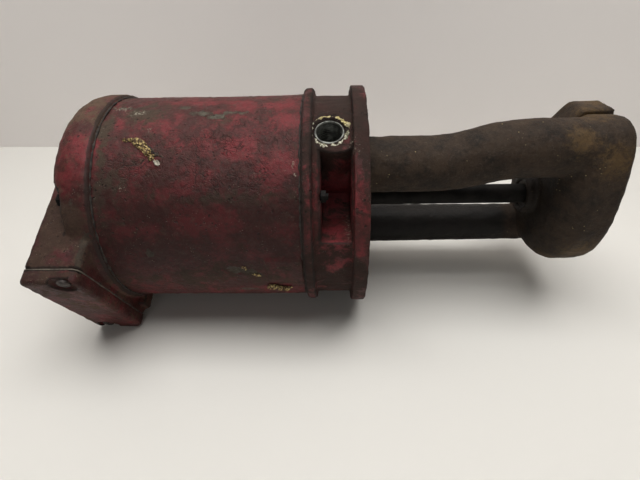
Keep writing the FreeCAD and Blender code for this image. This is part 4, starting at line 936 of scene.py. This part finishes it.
castLook = {
    "bracket": {"longest": 0.0034, "wear": 0.55, "rounds": 2, "rough": 0.00012, "grain": 0.00005, "seed": 11},
    "bell": {"longest": 0.0034, "wear": 0.55, "rounds": 2, "rough": 0.00012, "grain": 0.00005, "seed": 21},
    "lid": {"longest": 0.0022, "wear": 0.5, "rounds": 2, "rough": 0.00010, "grain": 0.00006, "seed": 31},
    "cover": {"longest": 0.0030, "wear": 0.5, "rounds": 2, "rough": 0.00010, "grain": 0.00005, "seed": 41},
}
castWaves = {"rough": (0.011, 24), "grain": (0.0045, 24)}  # wavelength and number of waves
weldDistance = 0.000004
cutRounds = 9
sharpEdgeAngle = 32.0
smoothAngle = 38.0
spreadRounds = 2  # how many vertices the wear reaches past an edge, and what share of it each step keeps
spreadShare = 0.75


# A welded copy of a node with its long edges cut, and which vertices lie on sharp and on outward sharp edges.
def refinedMesh(nodeName, meshName, look):
    bm = bmesh.new()
    bm.from_mesh(nodes[nodeName].data)
    bmesh.ops.remove_doubles(bm, verts=bm.verts, dist=weldDistance)
    for _ in range(cutRounds):
        longEdges = [edge for edge in bm.edges if edge.calc_length() > look["longest"]]
        if not longEdges:
            break
        bmesh.ops.subdivide_edges(bm, edges=longEdges, cuts=1)
        bmesh.ops.triangulate(bm, faces=[face for face in bm.faces if len(face.verts) > 3])
    bm.verts.index_update()
    sharpAngle = math.radians(sharpEdgeAngle)
    sharpEdges = [edge for edge in bm.edges
                  if len(edge.link_faces) == 2 and abs(edge.calc_face_angle(0.0)) > sharpAngle]
    sharp = np.zeros(len(bm.verts))
    convex = np.zeros(len(bm.verts))
    for edge in sharpEdges:
        ends = [vert.index for vert in edge.verts]
        sharp[ends] = 1.0
        if edge.is_convex:
            convex[ends] = 1.0
    mesh = bpy.data.meshes.new(meshName)
    bm.to_mesh(mesh)
    bm.free()
    return mesh, sharp, convex


# The mean of each vertex's neighbours, from the mesh's edges.
def neighbourMean(pairs, values, count):
    total = np.zeros_like(values)
    np.add.at(total, pairs[:, 0], values[pairs[:, 1]])
    np.add.at(total, pairs[:, 1], values[pairs[:, 0]])
    return total / np.maximum(count, 1)[:, None]


# Wears the edges by moving their vertices towards their neighbours, then adds the skin's roughness.
def castPiece(name, nodeName, lookName, material, moreWeights=None, reshape=None):
    look = castLook[lookName]
    mesh, sharp, convex = refinedMesh(nodeName, name, look)
    vertexCount = len(mesh.vertices)
    points = np.empty(vertexCount * 3)
    mesh.vertices.foreach_get("co", points)
    points = points.reshape(-1, 3)
    pairs = np.empty(len(mesh.edges) * 2, dtype=np.int32)
    mesh.edges.foreach_get("vertices", pairs)
    pairs = pairs.reshape(-1, 2)
    count = np.bincount(pairs.ravel(), minlength=vertexCount)
    if reshape is not None:
        reshape(points)
    for _ in range(look["rounds"]):
        pull = (sharp * look["wear"])[:, None]
        points += (neighbourMean(pairs, points, count) - points) * pull
    edge = convex.copy()
    for _ in range(spreadRounds):
        edge = np.maximum(edge, spreadShare * neighbourMean(pairs, edge[:, None], count)[:, 0])
    mesh.vertices.foreach_set("co", points.ravel())
    mesh.update()
    normals = np.empty(vertexCount * 3)
    mesh.vertices.foreach_get("normal", normals)
    normals = normals.reshape(-1, 3)
    relief = look["rough"] * waveNoise(points, *castWaves["rough"], look["seed"])
    relief += look["grain"] * waveNoise(points, *castWaves["grain"], look["seed"] + 1)
    low, high = (np.array(corner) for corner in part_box(nodeName))
    points = np.clip(points + normals * relief[:, None], low, high)
    mesh.vertices.foreach_set("co", points.ravel())
    shadeSmooth(mesh, smoothAngle)
    weights = patchWeights(points)
    weights["edge"] = edge
    if moreWeights is not None:
        moreWeights(points, weights)
    addWeights(mesh, weights)
    print(name, "triangles:", len(mesh.polygons))
    addPiece(name, mesh, material, "pump_frame", [nodeName])


bracketLook = {
    "hubReach": 0.0345,
    "cupTop": 0.0455,
    "boreRadius": 0.0100,
    "boreCentre": (0.0, 0.0264),
    "oilShadeStart": 0.004,
    "oilShadeEnd": 0.024,
    "oilShadeBottom": -0.138,
    "oilShadeTop": -0.128,
    "boreOil": 0.8,
    "headBottom": 0.0005,
    "socket": (0.0, -0.006, -0.148),
    "socketSize": 0.036,
    "socketOilShade": 0.9,
    "ochreShare": 0.75,
    "ochreSpots": [
        (0.020, -0.076, -0.160, 0.020), (0.040, -0.060, -0.172, 0.016), (-0.022, -0.070, -0.166, 0.016),
        (-0.052, 0.000, -0.168, 0.018), (-0.047, 0.026, -0.164, 0.020), (-0.010, -0.078, -0.144, 0.014),
        (0.052, -0.052, -0.146, 0.018), (0.000, 0.060, -0.165, 0.020),
    ],
}


# Paint only outside; oil and painted shade on the side away from the pipe and round the shaft's entry; ochre
# rust spots on the casing.
def bracketWeights(points, weights):
    look = bracketLook
    across = np.hypot(points[:, 0] - look["boreCentre"][0], points[:, 2] - look["boreCentre"][1])
    inBore = (across < look["boreRadius"]) & (points[:, 1] < 0)
    reach = np.hypot(points[:, 0], points[:, 1])
    inside = (reach < look["hubReach"]) | (points[:, 2] > look["cupTop"]) | inBore
    weights["outside"] = 1.0 - inside.astype(float)
    # Oil and painted shade on the strut side, away from the pipe, which lies in the pipe's shade
    oil = smoothStep(points[:, 1], look["oilShadeStart"], look["oilShadeEnd"])
    oil = oil * smoothStep(points[:, 2], look["oilShadeBottom"], look["oilShadeTop"])
    # Painted shade round the shaft's entry into the casing, which lies in deep shade
    socket = np.linalg.norm(points - np.array(look["socket"]), axis=1) / look["socketSize"]
    oil = np.maximum(oil, look["socketOilShade"] * np.exp(-socket ** 2))
    weights["oil"] = np.where(points[:, 2] < look["headBottom"], oil, 0.0) + look["boreOil"] * inBore
    ochre = np.zeros(len(points))
    for x, y, z, size in look["ochreSpots"]:
        far = np.linalg.norm(points - np.array([x, y, z]), axis=1) / size
        ochre = np.maximum(ochre, look["ochreShare"] * np.exp(-far ** 2))
    weights["ochre"] = ochre


bellLook = {
    "wornEdge": (-0.0528, 0.1926),
    "wornEdgeSize": 0.0042,
    "wornEdgeFrom": -0.040,
}


# The box's long corner nearest the pump is rubbed down to grey metal.
def bellWeights(points, weights):
    look = bellLook
    far = np.hypot(points[:, 1] - look["wornEdge"][0], points[:, 2] - look["wornEdge"][1])
    worn = np.exp(-(far / look["wornEdgeSize"]) ** 2) * (points[:, 0] < look["wornEdgeFrom"])
    weights["bare"] = np.maximum(weights["bare"], worn)


lugLook = {
    "angle": -61.6,
    "from": 0.058,
    "pull": 0.27,
    "top": -0.138,
    "halfWidth": 0.0120,
    "fade": 0.0030,
}


# The casing's lug is drawn in: points past a reach move back by a share of how far past it they are.
def drawLugIn(points):
    look = lugLook
    angle = math.radians(look["angle"])
    outward = np.array([math.cos(angle), math.sin(angle)])
    reach = points[:, :2] @ outward
    side = np.abs(points[:, 0] * outward[1] - points[:, 1] * outward[0])
    share = smoothStep(look["halfWidth"] + look["fade"] - side, 0.0, look["fade"])
    share = share * (reach > look["from"]) * (points[:, 2] < look["top"])
    points[:, :2] -= (share * look["pull"] * (reach - look["from"]))[:, None] * outward


castPiece("bracketCasting", "pump_bracket", "bracket", "bracketCasting",
          moreWeights=bracketWeights, reshape=drawLugIn)
castPiece("endBellCasting", "end_bell", "bell", "bellPaint", moreWeights=bellWeights)
castPiece("boxLidCasting", "box_cover", "lid", "lidPaint")
castPiece("suctionCoverCasting", "suction_cover", "cover", "coverIron")
print("castings made")


# Outlet: threads in the bore and old sealant round its mouth

outletHeight = 0.0264
looseAngle = 60.0  # sealant, crusts and dirt stay smooth up to this angle
threadLook = {
    "radius": 0.00975,
    "crest": 0.00070,
    "pitch": 0.001814,
    "mouth": -0.0788,
    "bottom": -0.0580,
    "sleeve": 0.0004,
    "turnSteps": 72,
    "depthSteps": 110,
    "sharpAngle": 30.0,
}


# A sleeve in the bore whose inside rises and falls as a triangle wave of depth plus turn.
def threadPiece():
    look = threadLook
    turns = np.linspace(0, 2 * np.pi, look["turnSteps"], endpoint=False)
    depths = np.linspace(look["mouth"], look["bottom"], look["depthSteps"])
    turnGrid, depthGrid = np.meshgrid(turns, depths)
    phase = ((depthGrid - look["mouth"]) / look["pitch"] + turnGrid / (2 * np.pi)) % 1.0
    radius = look["radius"] - look["crest"] * (1 - np.abs(2 * phase - 1))
    inside = np.stack([radius * np.cos(turnGrid), depthGrid,
                       outletHeight + radius * np.sin(turnGrid)], axis=-1)
    outerRadius = look["radius"] + look["sleeve"]
    ends = np.array([look["bottom"], look["mouth"]])
    turnGrid, depthGrid = np.meshgrid(turns, ends)
    outside = np.stack([outerRadius * np.cos(turnGrid), depthGrid,
                        outletHeight + outerRadius * np.sin(turnGrid)], axis=-1)
    mesh = gridMesh("outletThreads", np.concatenate([inside, outside]), True, look["sharpAngle"])
    addPiece("outletThreads", mesh, "threadSteel", "pump_frame")


sealantLook = {
    "waistRadius": 0.0810,
    "ringRadius": 0.0131,
    "thickness": 0.00095,
    "sunk": 0.0002,
    "turnSteps": 220,
    "sectionSteps": 14,
    "waveRing": 0.012,
    "swell": (0.70, 0.45),  # its middle and its spread
    "swellWaves": (0.006, 12, 51),
    "swellLimits": (0.30, 1.5),
    "sway": 0.0005,
    "swayWaves": (0.004, 12, 52),
    "width": 1.5,
    "height": 0.8,
    "lumps": 0.2,
    "lumpWaves": (0.0016, 20, 53),
    "yellowAngle": -20.0,
    "yellowRamp": (0.2, 0.9),
    "yellowShare": 0.6,
}


# A lumpy ring that follows the waist's curve round the outlet's mouth, thick and thin by wave noise.
def sealantPiece():
    look = sealantLook
    turns = np.linspace(0, 2 * np.pi, look["turnSteps"], endpoint=False)
    section = np.linspace(0, 2 * np.pi, look["sectionSteps"], endpoint=False)
    turnGrid, sectionGrid = np.meshgrid(turns, section, indexing="ij")
    onRing = np.stack([np.cos(turns), np.sin(turns), 0 * turns], axis=-1) * look["waveRing"]
    middle, spread = look["swell"]
    swell = np.clip(middle + spread * waveNoise(onRing, *look["swellWaves"]), *look["swellLimits"])
    thick = look["thickness"] * swell[:, None]
    ring = look["ringRadius"] + look["sway"] * waveNoise(onRing, *look["swayWaves"])[:, None]
    reach = ring + look["width"] * thick * np.cos(sectionGrid)
    x = reach * np.cos(turnGrid)
    z = outletHeight + reach * np.sin(turnGrid)
    flat = np.stack([x, 0 * x, z], axis=-1).reshape(-1, 3)
    lumps = waveNoise(flat, *look["lumpWaves"]).reshape(x.shape)
    rise = thick * (np.sin(sectionGrid) * look["height"] + look["lumps"] * lumps)
    y = -np.sqrt(look["waistRadius"] ** 2 - x ** 2) - rise
    y = y + look["sunk"]
    mesh = gridMesh("outletSealant", np.stack([x, y, z], axis=-1), True, looseAngle)
    tip = smoothStep(np.cos(turnGrid - math.radians(look["yellowAngle"])), *look["yellowRamp"]).ravel()
    addWeights(mesh, {"tip": tip * look["yellowShare"]})
    addPiece("outletSealant", mesh, "whiteSealant", "pump_frame")


threadPiece()
sealantPiece()


# Dried deposits on the shell, and a painted shadow beside the streak, each along a path of (angle in degrees,
# height in mm)

crustLook = {
    "shellStreak": {
        "path": [(-95.3, 167.6), (-94.8, 162.0), (-96.6, 155.8), (-100.4, 150.2), (-103.6, 146.9),
                 (-105.6, 144.0), (-108.4, 140.2)],
        "radius": 0.0825, "halfWidth": 0.0031, "height": 0.0022, "material": "yellowCrust",
        "tipFrom": 0.80, "seed": 61,
    },
    # A thin dark strip beside the streak: painted shadow of the streak
    "shellStreakShadow": {
        "path": [(-96.6, 153.6), (-99.6, 149.0), (-101.6, 145.2), (-103.6, 141.2), (-104.6, 136.6)],
        "radius": 0.0825, "halfWidth": 0.0017, "height": 0.0005, "material": "streakShadowPaint", "seed": 62,
    },
    "louvreDebris": {
        "path": [(-179.6, 75.4), (-178.4, 70.6), (-180.4, 66.0), (-181.6, 61.0), (-180.0, 56.4)],
        "radius": 0.0832, "halfWidth": 0.0030, "height": 0.0017, "material": "yellowCrust", "seed": 63,
    },
    "louvreChip": {
        "path": [(-166.8, 84.5), (-167.6, 80.5), (-168.6, 77.6)],
        "radius": 0.0824, "halfWidth": 0.0013, "height": 0.0008, "material": "yellowCrust", "seed": 64,
    },
    "louvreChipUpper": {
        "path": [(-160.6, 91.0), (-161.8, 88.6), (-163.2, 87.4)],
        "radius": 0.0824, "halfWidth": 0.0012, "height": 0.0007, "material": "yellowCrust", "seed": 65,
    },
}
crustForm = {  # what all the deposits share
    "pathSteps": 90,
    "sectionSteps": 22,
    "waveReach": 0.03,
    "taperEnds": (0.02, 0.98),
    "taperPower": 0.5,
    "taperLeast": 0.15,
    "swell": (0.85, 0.28),
    "swellWaves": (0.006, 12),
    "swellLimits": (0.3, 1.4),
    "lumpWaves": (0.0019, 24),
    "lumpSeedStep": 7,
    "lumpShare": 0.35,
    "deepest": -0.0006,
    "tipRamp": 0.12,
    "noTip": 2.0,  # past the path's end
}


# A lumpy closed strip: ovals across the path, widest in the middle, their size shaken by wave noise.
def crustPiece(name, look):
    form = crustForm
    path = np.array(look["path"], dtype=float)
    knots = np.linspace(0, 1, len(path))
    share = np.linspace(0, 1, form["pathSteps"])
    angle = np.radians(np.interp(share, knots, path[:, 0]))
    level = np.interp(share, knots, path[:, 1]) * mm
    radius = look["radius"]
    along = np.gradient(np.stack([angle * radius, level], axis=-1), axis=0)
    along /= np.linalg.norm(along, axis=1)[:, None]
    section = np.linspace(0, 2 * np.pi, form["sectionSteps"], endpoint=False)
    shareGrid, sectionGrid = np.meshgrid(share, section, indexing="ij")
    seedPoints = np.stack([share * form["waveReach"], 0 * share, 0 * share], axis=-1)
    rounded = np.sin(np.pi * np.clip(share, *form["taperEnds"])) ** form["taperPower"]
    taper = np.clip(rounded, form["taperLeast"], 1)
    middle, spread = form["swell"]
    swell = middle + spread * waveNoise(seedPoints, *form["swellWaves"], look["seed"])
    taper = taper * np.clip(swell, *form["swellLimits"])
    across = look["halfWidth"] * taper[:, None] * np.cos(sectionGrid)
    lift = look["height"] * taper[:, None] * np.sin(sectionGrid)
    aroundShift = -along[:, 1][:, None] * across
    levelShift = along[:, 0][:, None] * across
    raw = np.stack([angle[:, None] * radius + aroundShift, level[:, None] + levelShift, lift], axis=-1)
    lumpSeed = look["seed"] + form["lumpSeedStep"]
    lumps = waveNoise(raw.reshape(-1, 3), *form["lumpWaves"], lumpSeed).reshape(lift.shape)
    lift = lift + np.where(lift > 0, form["lumpShare"] * look["height"] * lumps, 0)
    turned = angle[:, None] + aroundShift / radius
    reach = radius + np.maximum(lift, form["deepest"])
    grid = np.stack([reach * np.cos(turned), reach * np.sin(turned), level[:, None] + levelShift], axis=-1)
    mesh = gridMesh(name, grid, False, looseAngle)
    tipFrom = look.get("tipFrom", form["noTip"])
    addWeights(mesh, {"tip": smoothStep(shareGrid.ravel(), tipFrom, tipFrom + form["tipRamp"])})
    addPiece(name, mesh, look["material"], "pump_frame")


for crustName, look in crustLook.items():
    crustPiece(crustName, look)


# Dirt packed into the two joints of the shell

seamLook = {
    "bellSeam": {"radius": 0.0829, "level": 0.1866, "thickness": 0.00075, "seed": 71},
    "rimSeam": {"radius": 0.0828, "level": 0.0461, "thickness": 0.00080, "seed": 72},
}
seamForm = {
    "turnSteps": 420,
    "sectionSteps": 8,
    "swell": (0.8, 0.32),
    "swellWaves": (0.006, 20),
    "swellLimits": (0.25, 1.5),
}


# A thin lumpy ring round the motor's axis.
def seamPiece(name, look):
    form = seamForm
    turns = np.linspace(0, 2 * np.pi, form["turnSteps"], endpoint=False)
    section = np.linspace(0, 2 * np.pi, form["sectionSteps"], endpoint=False)
    turnGrid, sectionGrid = np.meshgrid(turns, section, indexing="ij")
    onRing = np.stack([np.cos(turns), np.sin(turns), 0 * turns], axis=-1) * look["radius"]
    middle, spread = form["swell"]
    swell = middle + spread * waveNoise(onRing, *form["swellWaves"], look["seed"])
    thick = look["thickness"] * np.clip(swell, *form["swellLimits"])
    radius = look["radius"] + thick[:, None] * np.cos(sectionGrid)
    level = look["level"] + thick[:, None] * np.sin(sectionGrid)
    grid = np.stack([radius * np.cos(turnGrid), radius * np.sin(turnGrid), level], axis=-1)
    addPiece(name, gridMesh(name, grid, True, looseAngle), "seamDirt", "pump_frame")


for seamName, look in seamLook.items():
    seamPiece(seamName, look)


# Lid screws with domed, slotted heads

screwLook = {
    "headRadius": 0.0044,
    "headHeight": 0.0030,
    "shankRadius": 0.0024,
    "shankLength": 0.0180,
    "slotWidth": 0.0011,
    "slotDepth": 0.0013,
    "slotAngles": (25.0, -50.0),
    "seatInset": 0.0032,
    "tipRadius": 0.0002,
    "tipChamfer": 0.001,
    "crownRadius": 0.0001,
    "rimShare": 0.45,
    "domeShare": 0.55,
    "domeSteps": 7,
    "turnSteps": 40,
    "sharpAngle": 35.0,
}


# A profile of (radius, height) turned about the screw's axis, which points along -X, less a slot.
def screwMesh(centre, slotAngle):
    look = screwLook
    dome = np.linspace(0, np.pi / 2, look["domeSteps"])
    headRadius, headHeight, rim = look["headRadius"], look["headHeight"], look["rimShare"]
    profile = [(look["tipRadius"], -look["shankLength"]),
               (look["shankRadius"], -look["shankLength"] + look["tipChamfer"]),
               (look["shankRadius"], 0.0), (headRadius, 0.0), (headRadius, headHeight * rim)]
    profile += [(headRadius * math.cos(step) + look["crownRadius"],
                 headHeight * (rim + look["domeShare"] * math.sin(step))) for step in dome[1:]]
    profile = np.array(profile)
    turns = np.linspace(0, 2 * np.pi, look["turnSteps"], endpoint=False)
    radius = profile[:, 0][:, None]
    grid = np.stack([np.broadcast_to(centre[0] - profile[:, 1][:, None], (len(profile), len(turns))),
                     centre[1] + radius * np.cos(turns), centre[2] + radius * np.sin(turns)], axis=-1)
    mesh = gridMesh("lidScrew", grid, False, look["sharpAngle"])
    slot = bpy.data.meshes.new("slotCutter")
    bm = bmesh.new()
    bmesh.ops.create_cube(bm, size=1.0)
    scale = Matrix.Diagonal((look["slotDepth"] * 2, look["slotWidth"], headRadius * 3, 1.0))
    turn = Matrix.Rotation(math.radians(slotAngle), 4, "X")
    top = Vector((centre[0] - headHeight, centre[1], centre[2]))
    bmesh.ops.transform(bm, matrix=Matrix.Translation(top) @ turn @ scale, verts=bm.verts)
    bm.to_mesh(slot)
    bm.free()
    body = bpy.data.objects.new("screwBody", mesh)
    cutter = bpy.data.objects.new("screwCutter", slot)
    for item in (body, cutter):
        bpy.context.scene.collection.objects.link(item)
    boolean = body.modifiers.new("slot", "BOOLEAN")
    boolean.operation = "DIFFERENCE"
    boolean.object = cutter
    bpy.context.view_layer.update()
    made = bpy.data.meshes.new_from_object(body.evaluated_get(bpy.context.evaluated_depsgraph_get()))
    bpy.data.objects.remove(body)
    bpy.data.objects.remove(cutter)
    return made


# One screw at each end of the CAD pair's box, joined into a single piece.
def lidScrewPieces():
    low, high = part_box("box_cover_screws")
    look = screwLook
    seat = low[0] + look["seatInset"]
    margin = look["headRadius"]
    centres = [(seat, low[1] + margin, low[2] + margin), (seat, high[1] - margin, high[2] - margin)]
    bm = bmesh.new()
    for centre, slotAngle in zip(centres, look["slotAngles"]):
        bm.from_mesh(screwMesh(centre, slotAngle))
    mesh = bpy.data.meshes.new("lidScrewPair")
    bm.to_mesh(mesh)
    bm.free()
    shadeSmooth(mesh, look["sharpAngle"])
    addPiece("lidScrewPair", mesh, "screwSteel", "pump_frame", ["box_cover_screws"])


lidScrewPieces()
print("details made")
